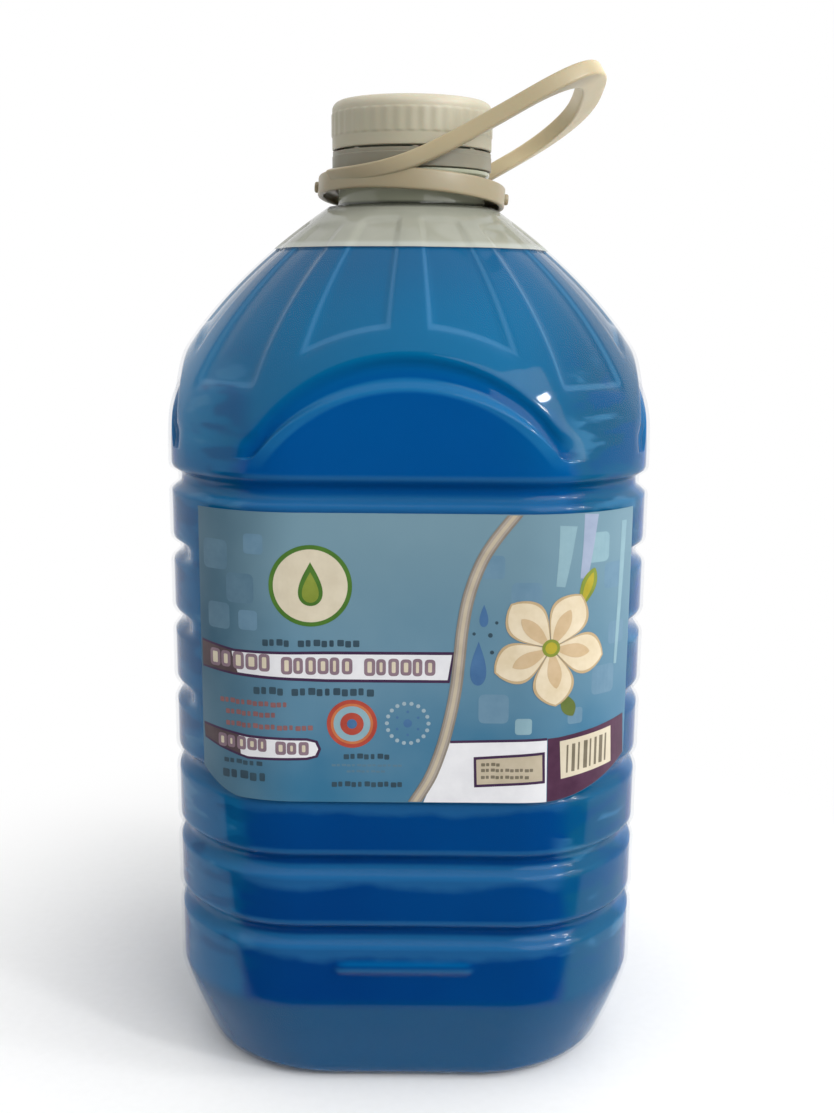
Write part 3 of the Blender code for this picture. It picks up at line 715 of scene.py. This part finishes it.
# Closure
def make_cap():
    skin = Skin()
    phi = even_columns(KNURL_COUNT * KNURL_COLUMNS)
    wave = np.cos(np.radians(phi * KNURL_COUNT)) * 0.5 + 0.5
    rim = CAP_RADIUS - KNURL_DEPTH / 2
    low, high = SKIRT_BOTTOM + KNURL_START, CAP_TOP - KNURL_END
    inner = CAP_RADIUS - KNURL_DEPTH * 0.35
    levels = [(rim - 0.0003, SKIRT_BOTTOM, 0.0), (rim, SKIRT_BOTTOM + 0.0003, 0.0)]
    levels.append((rim, low - 0.0002, 0.0))
    for share in np.linspace(0.0, 1.0, 30):
        fade = float(smooth_step(min(share, 1.0 - share) / 0.08))
        levels.append((rim, low + (high - low) * share, fade))
    levels.append((rim, high + 0.0002, 0.0))
    for turn in np.radians(range(0, 91, 9)):
        inward, down = 1 - cos(turn), 1 - sin(turn)
        levels.append((rim - CAP_ROUND * inward, CAP_TOP - CAP_ROUND * down, 0.0))
    ribbed = inner + (CAP_RADIUS - inner) * wave
    rows = [at(phi, radius * (1 - fade) + ribbed * fade, z) for radius, z, fade in levels]
    flat = rim - CAP_ROUND
    crown = (flat - 0.0008, 0.0), (flat - 0.0012, 0.0002), (flat * 0.5, 0.0002), (0.0015, 0.0002)
    for radius, drop in crown:
        rows.append(at(phi, radius, CAP_TOP - drop))
    index = skin.grid(rows)
    skin.fan(index[-1], CAP_TOP - 0.0002)
    bore = FINISH_RADIUS + THREAD_DEPTH + THREAD_GAP
    inside = [(rim - 0.0003, SKIRT_BOTTOM), (bore + 0.0003, SKIRT_BOTTOM), (bore, SKIRT_BOTTOM + 0.0004)]
    inside += [(bore, CAP_CEILING - 0.0008), (bore - 0.0008, CAP_CEILING), (0.001, CAP_CEILING)]
    lining = skin.grid([at(phi, r, z) for r, z in inside])
    skin.fan(lining[-1], CAP_CEILING)
    helix(skin, bore, -THREAD_DEPTH, SKIRT_BOTTOM + THREAD_PITCH / 2 + THREAD_ROOT / 2)
    # Painted shade: the skirt darker than the top, which stays lighter as if lit from above
    shade = ("#ABA58F", CAP_TOP - 0.001, CAP_TOP - 0.006)
    look = plastic_look("cap_plastic", "#B9B29C", "#C4BDA8", 0.42, shade)
    cap = skin.build("screw_cap", [look], 35.0)
    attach(cap, "cap")
    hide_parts("cap")


def make_band():
    inside = FINISH_RADIUS + BEAD_PROUD + BAND_GAP
    outside = inside + BAND_WALL
    lip = FINISH_RADIUS + BAND_GAP
    phi = even_columns(BAND_BRIDGES * 48)
    pitch = 360.0 / BAND_BRIDGES
    first = pitch / 16
    bridge = smooth_step(2.4 - angle_off(phi - first, pitch)) * (BAND_SLOT - TOUCH_GAP)
    lip_top = BAND_BOTTOM + BAND_LIP
    outline = [
        (outside - 0.0002, BAND_BOTTOM, 0.0),
        (outside, BAND_BOTTOM + 0.0002, 0.0),
        (outside, BAND_TOP - 0.0014, 0.0),
        (outside - 0.00015, BAND_TOP - 0.0012, 0.0),
        (outside - 0.00015, BAND_TOP - 0.0002, 0.0),
        (outside - 0.0002, BAND_TOP, 1.0),
        (inside + 0.0002, BAND_TOP, 1.0),
        (inside, BAND_TOP - 0.0002, 0.0),
        (inside, lip_top + TOUCH_GAP, 0.0),
        (lip, lip_top, 0.0),
        (lip, lip_top - BAND_LIP * 0.7, 0.0),
        (inside, BAND_BOTTOM, 0.0),
    ]
    skin = Skin()
    rows = [at(phi, r, z + lift * bridge) for r, z, lift in outline]
    skin.grid(rows, wrap_rows=True)
    band = skin.build("tamper_ring", [plastic_look("band_plastic", "#7E7A69", "#8A8574", 0.45)], 35.0)
    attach(band, "bottle")
    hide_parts("tamper_band")


def make_liner():
    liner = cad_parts["cap_liner"]
    look = Nodes("liner_foam", Roughness=0.75)
    look.colour(look.mix(look.noise(400.0), "#D9DAD6", "#E6E6E2"))
    look.bump(look.noise(900.0), 0.0001, 0.6)
    liner.data.materials.clear()
    liner.data.materials.append(look.material)


# Carry handle
def loop_level(along, across):
    past = along - LOOP_START
    rise = tan(radians(LOOP_SLOPE)) * (past + hypot(past, LOOP_EASE)) / 2
    return RING_CENTRE - LOOP_DROP + rise - across * tan(radians(LOOP_ROLL))


def loop_route():
    side = RING_RADIUS - RING_RIM / 2 - TOUCH_GAP
    points = []
    for along in np.linspace(LOOP_FRONT_ROOT, LOOP_SHOULDER, 60)[:-1]:
        across = sqrt(side**2 - min(along, 0.0) ** 2)
        points.append(Vector((along, -across, loop_level(along, -side))))
    power = 2.0 / LOOP_SQUARENESS
    for turn in np.linspace(-pi / 2, pi / 2, 90):
        along = LOOP_SHOULDER + (LOOP_REACH - LOOP_SHOULDER) * max(cos(turn), 0.0) ** power
        across = copysign(abs(sin(turn)) ** power, turn) * side
        points.append(Vector((along, across, loop_level(along, across))))
    for along in np.linspace(LOOP_SHOULDER, LOOP_REAR_ROOT, 30)[1:]:
        points.append(Vector((along, side, loop_level(along, side))))
    return resampled(points, 0.0008)


def resampled(points, step):
    """Even steps along a line of points, so that no section of a sweep folds."""
    lengths = [0.0]
    for a, b in zip(points, points[1:]):
        lengths.append(lengths[-1] + (b - a).length)
    count = max(int(lengths[-1] / step), 2)
    wanted = np.linspace(0.0, lengths[-1], count)
    line = np.array(points)
    return [Vector([float(np.interp(w, lengths, line[:, k])) for k in range(3)]) for w in wanted]


def make_handle():
    skin = Skin()
    place = Matrix.Translation((0.0, 0.0, RING_CENTRE)) @ spin(-RING_TILT_X, "X") @ spin(RING_TILT_Y, "Y")
    rim, web, half = RING_RADIUS - RING_RIM, NECK_RADIUS + RING_GAP, RING_HEIGHT / 2
    upper = [(RING_RADIUS, half), (rim, half), (rim, RING_WEB / 2), (web, RING_WEB / 2)]
    corners = [(RING_RADIUS, -half), *upper, (web, -RING_WEB / 2), (rim, -RING_WEB / 2), (rim, -half)]
    turned(skin, rounded(corners, 0.0008), 256, place, closed=True)

    slope, roll = radians(LOOP_SLOPE), radians(LOOP_ROLL)
    upright = Vector((-tan(slope), tan(roll), 1.0)).normalized()
    route = loop_route()
    sections = []
    for i, point in enumerate(route):
        ahead = route[min(i + 3, len(route) - 1)] - route[max(i - 3, 0)]
        outward = ahead.cross(upright).normalized()
        reach = (point.x - LOOP_SHOULDER) / (LOOP_REACH - LOOP_SHOULDER)
        thick = STRAP_THICKNESS + (GRIP_THICKNESS - STRAP_THICKNESS) * float(smooth_step(reach))
        top, outside = STRAP_WIDTH / 2 - 0.0001, STRAP_THICKNESS / 2
        box = [(top, outside), (-top, outside), (-top, outside - thick), (top, outside - thick)]
        sections.append([point + upright * u + outward * v for u, v in rounded(box, 0.0009, 5)])
    index = skin.grid(sections)
    skin.face(index[0])
    skin.face(index[-1])

    for side in (-1.0, 1.0):
        length = KNOB_PROUD + RING_RIM / 2
        start = side * (RING_RADIUS + KNOB_PROUD - length)
        base = place @ Matrix.Translation((start, 0.0, 0.0)) @ spin(90.0 * side, "Y")
        outline = [(KNOB_RADIUS, 0.0), (KNOB_RADIUS, length - 0.0005)]
        outline.append((KNOB_RADIUS - 0.0002, length - 0.00015))
        outline += [(KNOB_RADIUS - 0.0005, length), (0.0002, length)]
        ring = turned(skin, outline, 32, base)
        skin.face(ring[-1])
    # Painted shade: darker lower down towards the ring, and darker towards the front
    shade, front = ("#978B70", 0.298, 0.284), ("#AC9E7E", -0.016, -0.028)
    look = plastic_look("handle_plastic", "#CDBD98", "#DBCAA5", 0.36, shade, front)
    handle = skin.build("handle_loop", [look], 40.0)
    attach(handle, "handle")
    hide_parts("carry_handle")


# Label and what is printed on it
def label_bottom(along):
    left = max(1.0 - (along - LABEL_LEFT) / LABEL_LEFT_CUT, 0.0)
    right = max(1.0 - (LABEL_RIGHT - along) / LABEL_RIGHT_CUT, 0.0)
    rise = LABEL_LEFT_RISE * left**LABEL_EDGE_POWER
    return LABEL_BOTTOM + rise + LABEL_RIGHT_RISE * right**LABEL_EDGE_POWER


def face_point(along, height, offset):
    flat = BODY_WIDTH / 2 - CORNER_RADIUS
    turn = max(abs(along) - flat, 0.0) / CORNER_RADIUS
    reach = CORNER_RADIUS + offset
    x = min(abs(along), flat) + reach * sin(turn)
    return (copysign(x, along), -flat - reach * cos(turn), height)


def make_label():
    skin = Skin()
    loops = []
    for along in np.linspace(LABEL_LEFT, LABEL_RIGHT, LABEL_COLUMNS):
        low = label_bottom(along)
        heights = low + (LABEL_TOP - low) * np.linspace(0.0, 1.0, LABEL_ROWS)
        front = [face_point(along, h, TOUCH_GAP + LABEL_FILM) for h in heights]
        loops.append(front + [face_point(along, h, TOUCH_GAP) for h in heights[::-1]])
    index = skin.grid(loops)
    skin.face(index[0])
    skin.face(index[-1])
    label = skin.build("label_film", [label_look()], 40.0)
    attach(label, "bottle")
    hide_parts("front_label")


INKS = dict(
    white=("#D9D9DC", "#E2E2E4"), purple=("#3A2346", "#46294A"),
    umber=("#4B3B40", "#57474A"), plum=("#43203A", "#55304A"),
    mauve=("#7C6672", "#8B7580"), cream=("#C9BEA6", "#D3C9B2"),
    sand=("#B3A78F", "#BEB29B"), bark=("#6B6350", "#7A7160"), slate=("#2C4250", "#36505E"),
    steel=("#4F7186", "#5B7D90"), rust=("#7E5355", "#8B5F5F"), red=("#A23B2E", "#B34A36"),
    amber=("#B8643A", "#C67748"), sky=("#7FA0AC", "#88A9B3"), mist=("#8FA3AE", "#98ACB6"),
    shade=("#5E8299", "#688BA1"), lilac=("#8F9CB4", "#9AA6BC"),
    cobalt=("#3A6390", "#456F9A"), taupe=("#9A9086", "#A89E93"),
    bronze=("#7F766B", "#8B8277"), petal=("#D2C1A0", "#DFD1B6"),
    blush=("#C0A57E", "#CDB490"), fold=("#B39A74", "#BFA782"),
    pollen=("#A3961F", "#B5A52E"), leaf=("#76852A", "#879437"),
    stem=("#56662B", "#647434"), olive=("#3F6A1E", "#4E7A2A"),
)


def spaced(start, end, pitch):
    count = max(round((end - start) / pitch), 1)
    step = (end - start) / count
    return [(i, start + i * step, step) for i in range(count)]


class Print:
    """Flat shapes in millimetres along the face from its middle, and of height, bent onto the film."""

    def __init__(self):
        self.mesh = bmesh.new()
        self.slots = {name: i for i, name in enumerate(INKS)}

    def shape(self, outline, ink, layer):
        verts = [self.mesh.verts.new((a / 1000, h / 1000, 0.0)) for a, h in outline]
        face = self.mesh.faces.new(verts)
        made = bmesh.ops.triangulate(self.mesh, faces=[face])["faces"]
        flat = BODY_WIDTH / 2 - CORNER_RADIUS
        lows = [a for a, h in outline]
        for cut in np.arange(-0.09, 0.09, 0.0015):
            if abs(cut) > flat - 0.001 and min(lows) / 1000 < cut < max(lows) / 1000:
                parts = [f for f in made if f.is_valid]
                edges, corners = {e for f in parts for e in f.edges}, {v for f in parts for v in f.verts}
                geometry = parts + list(edges) + list(corners)
                result = bmesh.ops.bisect_plane(
                    self.mesh, geom=geometry, dist=1e-7, plane_co=(cut, 0.0, 0.0), plane_no=(1.0, 0.0, 0.0)
                )
                made = [g for g in result["geom"] if isinstance(g, bmesh.types.BMFace)]
        offset = TOUCH_GAP + LABEL_FILM + INK_STEP * (layer + 1)
        for point in {v for f in made for v in f.verts}:
            point.co = face_point(point.co.x, point.co.y, offset)
        for f in made:
            f.material_index = self.slots[ink]

    def rect(self, a0, h0, a1, h1, ink, layer, radius=0.0):
        corners = [(a0, h0), (a1, h0), (a1, h1), (a0, h1)]
        self.shape(rounded(corners, radius, 6) if radius else corners, ink, layer)

    def disc(self, a, h, radius, ink, layer, count=64):
        turns = np.linspace(0.0, tau, count, endpoint=False)
        self.shape([(a + radius * cos(t), h + radius * sin(t)) for t in turns], ink, layer)

    def ribbon(self, line, widths, ink, layer):
        points = [Vector(p) for p in line]
        left, right = [], []
        for i, p in enumerate(points):
            ahead = (points[min(i + 1, len(points) - 1)] - points[max(i - 1, 0)]).normalized()
            side = Vector((-ahead.y, ahead.x)) * widths[i] / 2
            left.append(tuple(p + side))
            right.append(tuple(p - side))
        self.shape(left + right[::-1], ink, layer)

    def stripe(self, line, width, ink, layer):
        """A steep band of one width whose two ends are cut level."""
        left, right = [], []
        for i, (a, h) in enumerate(line):
            ahead = Vector(line[min(i + 1, len(line) - 1)]) - Vector(line[max(i - 1, 0)])
            half = width / 2 * ahead.length / abs(ahead.y)
            left.append((a - half, h))
            right.append((a + half, h))
        self.shape(left + right[::-1], ink, layer)

    def dashes(self, ink, layer, height, pitch, *lines):
        """Broken lines of short blocks of uneven lengths. A line is (start, end, middle)."""
        shares = (0.8, 0.62, 0.86, 0.7, 0.55, 0.84, 0.74)
        for start, end, middle in lines:
            for i, a, step in spaced(start, end, pitch):
                width, low = step * shares[i % len(shares)], middle + height * 0.08 * (i % 3 - 1)
                self.rect(a, low - height / 2, a + width, low + height / 2, ink, layer, height * 0.2)

    def cells(self, ink, core, layer, height, pitch, *lines):
        """Rows of rounded frames with pale middles."""
        for start, end, middle in lines:
            for i, a, step in spaced(start, end, pitch):
                width, half = step * (0.92, 0.8, 0.88)[i % 3], height / 2 * (1.0, 0.92)[i % 2]
                low, high = middle - half, middle + half
                self.rect(a, low, a + width, high, ink, layer, height * 0.24)
                self.rect(a + 1.0, low + 1.0, a + width - 1.0, high - 1.0, core, layer + 1, 0.4)

    def build(self):
        data = bpy.data.meshes.new("label_print")
        self.mesh.to_mesh(data)
        self.mesh.free()
        for name, (low, high) in INKS.items():
            data.materials.append(ink_look("ink_" + name, low, high).material)
        return place_object("label_print", data)


def curve(points, count=40):
    """A smooth line through a few points."""
    given = np.array(points, float)
    spots = np.linspace(0, len(given) - 1, count)
    result = []
    for s in spots:
        i = min(int(s), len(given) - 2)
        t = s - i
        p0, p1 = given[max(i - 1, 0)], given[i]
        p2, p3 = given[i + 1], given[min(i + 2, len(given) - 1)]
        value = 2 * p1 + (p2 - p0) * t + (2 * p0 - 5 * p1 + 4 * p2 - p3) * t**2
        result.append(tuple((value + (3 * p1 - p0 - 3 * p2 + p3) * t**3) / 2))
    return result


def petal(centre, angle, length, width):
    """Broad petal with a round tip."""
    outline = [(length * t, width / 2 * sin(pi * t**1.45) ** 0.75) for t in np.linspace(0.0, 1.0, 24)]
    outline += [(r, -w) for r, w in outline[-2:0:-1]]
    turn = radians(angle)
    c, s = cos(turn), sin(turn)
    return [(centre[0] + r * c - w * s, centre[1] + r * s + w * c) for r, w in outline]


def tear(a, h, width, height):
    turns = np.linspace(0.0, tau, 40)[:-1]
    return [(a + width * sin(t) * abs(sin(t / 2)) ** 1.3, h + height * cos(t)) for t in turns]


def blossom(sheet, centre, size, first, layer):
    for i, order in enumerate((0, 1, 0, 1, 2)):
        angle = first + 72 * i
        sheet.shape(petal(centre, angle, size, size * 0.70), "fold", layer + order)
        sheet.shape(petal(centre, angle, size * 0.97, size * 0.61), "petal", layer + 3 + order)
        sheet.shape(petal(centre, angle + 3, size * 0.7, size * 0.24), "blush", layer + 6)
    sheet.disc(*centre, size * 0.15, "leaf", layer + 7, 24)
    sheet.disc(*centre, size * 0.10, "pollen", layer + 8, 24)


def label_edge(start, end, count):
    """Points just above the label's lower edge."""
    return [(a, label_bottom(a / 1000) * 1000 + 0.15) for a in np.linspace(start, end, count)]


def make_print():
    sheet = Print()
    squares = (
        (-58, 174, 9, "steel"), (-49.5, 164.5, 9, "steel"), (-57, 155.5, 8, "steel"),
        (-47, 155, 6, "shade"), (-45, 178, 6, "shade"), (25, 172, 7, "shade"), (35, 163, 9, "shade"),
        (57, 177, 9, "sky"), (64, 168, 8, "shade"), (66, 150, 7, "shade"), (61, 136, 9, "shade"),
        (26, 129, 9, "shade"), (35, 123.5, 5, "sky"), (51, 126, 5, "shade"),
    )
    for a, h, size, ink in squares:
        sheet.rect(a - size / 2, h - size / 2, a + size / 2, h + size / 2, ink, 0, size * 0.22)

    sheet.disc(-28.2, 166.0, 12.2, "olive", 1)
    sheet.disc(-28.2, 166.0, 10.9, "cream", 2)
    sheet.shape(tear(-28.2, 166.6, 5.0, 6.6), "olive", 3)
    sheet.shape(tear(-28.2, 165.6, 3.4, 4.6), "leaf", 4)

    sheet.dashes("slate", 1, 2.0, 2.3, (-42.5, -34.0, 148.7), (-32.0, -13.4, 148.7))
    top = [(14.2, 146.4), (-23.5, 146.3), (-51.7, 145.8), (-64.0, 147.3)]
    bottom = [(-63.9, 138.6), (-51.9, 137.8), (-23.6, 136.9), (12.8, 136.9)]
    sheet.shape(bottom + top, "purple", 1)
    face = [(-51.5, 138.7), (-23.6, 137.8), (12.2, 137.8), (13.4, 145.5), (-23.5, 145.4), (-52.5, 145.0)]
    sheet.shape(face, "white", 2)
    sheet.shape([(-63.9, 139.2), (-50.5, 138.4), (-52.8, 145.3), (-63.9, 146.7)], "umber", 3)
    cells = (-60.5, -39.5, 142.4), (-37.0, -15.5, 141.8), (-12.5, 9.0, 141.6)
    sheet.cells("mauve", "cream", 4, 5.4, 3.9, *cells)
    sheet.dashes("slate", 1, 2.2, 2.4, (-45.5, -35.8, 133.8), (-34.0, -9.2, 133.8))
    sheet.dashes("rust", 1, 1.5, 1.9, (-57.0, -34.7, 129.6), (-55.0, -38.3, 126.2), (-55.0, -27.4, 122.5))

    pill = [(-63.7, 116.0), (-57.5, 114.1), (-47.7, 111.9), (-29.6, 112.5), (-26.4, 113.4), (-25.3, 116.0)]
    pill += [(-26.4, 118.6), (-29.5, 119.4), (-47.6, 119.5), (-64.0, 121.0)]
    sheet.shape(pill, "purple", 1)
    face = [(-51.0, 113.4), (-47.7, 112.7), (-29.8, 113.3), (-27.1, 114.0), (-26.2, 116.0), (-27.1, 118.0)]
    sheet.shape(face + [(-29.7, 118.6), (-47.6, 118.7), (-51.0, 119.0)], "white", 2)
    sheet.shape([(-63.7, 116.6), (-57.5, 114.8), (-50.0, 113.2), (-50.6, 119.1), (-64.0, 120.3)], "umber", 3)
    sheet.cells("mauve", "cream", 4, 4.2, 3.2, (-58.0, -41.0, 116.7), (-39.0, -28.6, 116.1))
    sheet.dashes("slate", 1, 1.4, 2.2, (-56.0, -42.7, 110.6))
    sheet.dashes("slate", 1, 2.6, 3.4, (-56.6, -40.9, 106.5))

    rings = (7.5, "red"), (6.3, "amber"), (5.5, "sky"), (3.5, "red"), (1.5, "cobalt")
    for layer, (radius, ink) in enumerate(rings, 1):
        sheet.disc(-16.1, 124.0, radius, ink, layer)
    for count, start, reach, radius, ink in ((18, 0.0, 6.2, 0.62, "mist"), (6, 0.5, 3.6, 0.42, "cobalt")):
        for i in range(count):
            turn = tau * (i + start) / count
            sheet.disc(0.5 + reach * cos(turn), 124.3 + reach * sin(turn), radius, ink, 1, 12)
    sheet.disc(0.5, 124.3, 1.3, "cobalt", 1, 24)
    sheet.dashes("slate", 1, 1.6, 2.0, (-18.6, -4.4, 113.8))
    sheet.dashes("steel", 1, 0.7, 1.5, (-22.2, -0.8, 111.0), (-17.7, -5.9, 109.1))
    sheet.dashes("slate", 1, 1.6, 2.0, (-22.2, -0.5, 105.0))

    route = [(31.2, 187.4), (25.6, 180.1), (21.5, 173.1), (18.2, 163.6), (16.5, 154.1), (15.6, 144.5)]
    line = curve(route + [(14.7, 135.4), (13.1, 126.2), (10.8, 116.9), (7.4, 107.5), (2.8, 99.6)], 72)
    for width, ink, layer in ((3.6, "bronze", 6), (2.4, "taupe", 7), (1.0, "sand", 8)):
        sheet.stripe(line, width, ink, layer)

    sheet.shape([(13.2, 118.9), (42.2, 119.7)] + label_edge(42.5, 5.4, 12), "white", 2)
    sheet.shape([(13.2, 118.2), (42.2, 119.0), (42.2, 119.8), (13.2, 119.0)], "purple", 3)
    sheet.shape([(20.6, 104.3), (41.9, 105.5), (41.6, 115.4), (20.3, 113.9)], "purple", 4)
    sheet.shape([(21.4, 105.2), (41.1, 106.3), (40.8, 114.5), (21.1, 113.1)], "sand", 5)
    sheet.dashes("bark", 6, 1.0, 1.5, (22.6, 28.6, 111.6), (22.6, 38.6, 109.8), (22.6, 37.2, 107.6))

    above = [(71.2, 123.1), (58.0, 121.2), (45.8, 119.7), (42.4, 119.5)]
    sheet.shape(label_edge(42.7, 72.2, 20) + above, "plum", 2)
    sheet.shape([(46.9, 106.4), (65.8, 108.7), (65.1, 120.4), (46.2, 118.4)], "cream", 3)
    bars = (48.5, 0.6), (50.3, 1.1), (52.4, 0.6), (54.4, 1.4), (56.6, 0.6), (58.4, 0.9), (60.3, 1.4)
    for a, width in (*bars, (62.6, 0.7)):
        low = 108.0 + 2.0 * (a - 46.6) / 19.0
        sheet.shape([(a, low), (a + width, low), (a + width, low + 8.8), (a, low + 8.8)], "bark", 4)

    streaks = (54.5, 187.2, 168.0, 5.0, "lilac"), (47.0, 184.0, 166.0, 5.5, "sky")
    for a, top, low, width, ink in (*streaks, (68.0, 184.0, 140.0, 2.4, "sky")):
        line = curve([(a, top), (a - 0.8, (top + low) / 2), (a - 2.0, low)], 20)
        sheet.ribbon(line, [width * (1.0 - 0.5 * i / 19) for i in range(20)], ink, 1)
    sheet.shape(tear(21.2, 143.0, 3.3, 6.8), "cobalt", 1)
    sheet.shape(tear(22.6, 157.5, 1.8, 3.4), "cobalt", 1)
    dots = (19.8, 152.0, 0.5), (24.6, 151.6, 0.7), (26.4, 155.4, 0.5), (25.2, 146.4, 0.6), (28.0, 143.0, 0.5)
    for a, h, size in dots:
        sheet.disc(a, h, size, "slate", 1, 16)

    stalk = curve([(44.0, 148.0), (50.0, 155.0), (53.5, 163.0), (55.0, 169.0)], 24)
    sheet.ribbon(stalk, [1.3] * 24, "stem", 2)
    sheet.shape(petal((51.0, 158.0), 68.0, 14.0, 5.2), "leaf", 3)
    sheet.shape(petal((51.6, 159.4), 68.0, 11.0, 2.6), "pollen", 4)
    sheet.shape(petal((46.0, 134.0), -62.0, 9.0, 4.6), "stem", 3)
    blossom(sheet, (42.6, 147.6), 18.2, -12.0, 5)

    item = sheet.build()
    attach(item, "bottle")


# Studio
def make_floor():
    skin = Skin()
    profile = [(y, 0.0) for y in np.linspace(-3.0, 1.2, 30)]
    for turn in np.radians(range(6, 91, 6)):
        profile.append((1.2 + 1.4 * sin(turn), 1.4 * (1 - cos(turn))))
    profile += [(2.6, 2.0), (2.6, 3.0)]
    rows = [[(x, y, z - 0.0002) for x in np.linspace(-4.0, 4.0, 24)] for y, z in profile]
    skin.grid(rows, wrap=False)
    look = Nodes("studio_paper", Roughness=0.9, Specular_IOR_Level=0.0)
    x, y, _ = look.axes()
    reach = look.math("SQRT", look.math("ADD", look.times(x, x), look.times(y, y)))
    rays = look.add("ShaderNodeLightPath").outputs
    shown = look.math("MAXIMUM", rays["Is Camera Ray"], rays["Is Transmission Ray"])
    back = look.times(rays["Is Glossy Ray"], look.ease(y, -0.118, -0.103))
    shown = look.math("MAXIMUM", shown, back)
    away = look.times(shown, look.ease(reach, 0.10, 0.27))
    # The floor in front of the bottle is painted dark for bounce light and reflections only; the camera sees
    # it pale
    front = look.times(look.math("SUBTRACT", 1.0, shown), look.ease(y, -0.085, -0.125))
    tone = look.mix(look.noise(300.0, 2.0), (0.86, 0.86, 0.855, 1.0), (0.90, 0.90, 0.895, 1.0))
    tone = look.tint(tone, front, (0.40, 0.40, 0.405, 1.0))
    # Painted dark reflection: the floor close in front is darker still for glossy rays
    dim = look.times(rays["Is Glossy Ray"], look.ease(y, -0.103, -0.118))
    tone = look.tint(tone, dim, (0.04, 0.04, 0.045, 1.0))
    look.colour(look.tint(tone, away, (0.0, 0.0, 0.0, 1.0)))
    look.shader.inputs["Emission Color"].default_value = (1.0, 1.0, 1.0, 1.0)
    look.link(away, look.shader.inputs["Emission Strength"])
    floor = skin.build("studio_floor", [look], 60.0, recalc=False)


def make_world():
    """White where the camera, glass and gloss look at it, but dark in front, where the camera stands."""
    world = bpy.data.worlds.new("studio")
    bpy.context.scene.world = world
    world.use_nodes = True
    sky = Tree(world.node_tree)
    back = sky.tree.nodes["Background"]
    back.inputs["Color"].default_value = (1.0, 1.0, 1.0, 1.0)
    x, y, _ = sky.split(sky.add("ShaderNodeTexCoord").outputs["Generated"])
    rays = sky.add("ShaderNodeLightPath").outputs
    soft = sky.times(sky.ease(y, -0.95, -0.35, 0.42, 1.0), sky.ease(x, -0.9, 0.9, 0.9, 1.3))
    strength = sky.add("ShaderNodeMix")
    sky.link(sky.math("MAXIMUM", rays["Is Glossy Ray"], rays["Is Transmission Ray"]), strength.inputs[0])
    sky.link(soft, strength.inputs[2])
    sky.link(sky.ease(y, -0.64, -0.50, 0.04, 0.8), strength.inputs[3])
    sky.link(sky.math("MAXIMUM", strength.outputs[0], rays["Is Camera Ray"]), back.inputs["Strength"])


def area_light(name, spot, size, power):
    data = bpy.data.lights.new(name, "AREA")
    data.shape = "RECTANGLE"
    data.size, data.size_y = size
    data.energy = power
    item = place_object(name, data)
    item.location = spot
    item.rotation_euler = (Vector(LIT_POINT) - Vector(spot)).to_track_quat("-Z", "Y").to_euler()


def make_lights():
    area_light("key", (1.2, -1.2, 1.1), (2.0, 1.6), 21.0)
    area_light("spark", (1.15, -0.95, 0.95), (0.17, 0.13), 6.0)
    area_light("glint", (1.19, -0.41, 1.12), (0.15, 0.06), 2.4)


def make_camera():
    data = bpy.data.cameras.new("camera")
    data.sensor_fit = "AUTO"
    data.sensor_width = SENSOR
    data.lens = FOCAL_LENGTH / FRAME_HEIGHT * SENSOR
    data.clip_start = 0.01
    item = place_object("camera", data)
    turn = spin(90.0 - CAMERA_TILT, "X") @ spin(CAMERA_ROLL, "Z")
    item.matrix_world = Matrix.Translation(CAMERA_SPOT) @ turn
    bpy.context.scene.camera = item


make_soap()
make_shell()
make_cap()
make_band()
make_liner()
make_handle()
make_label()
make_print()
make_floor()
make_world()
make_lights()
make_camera()
bpy.context.scene.view_settings.view_transform = "Standard"
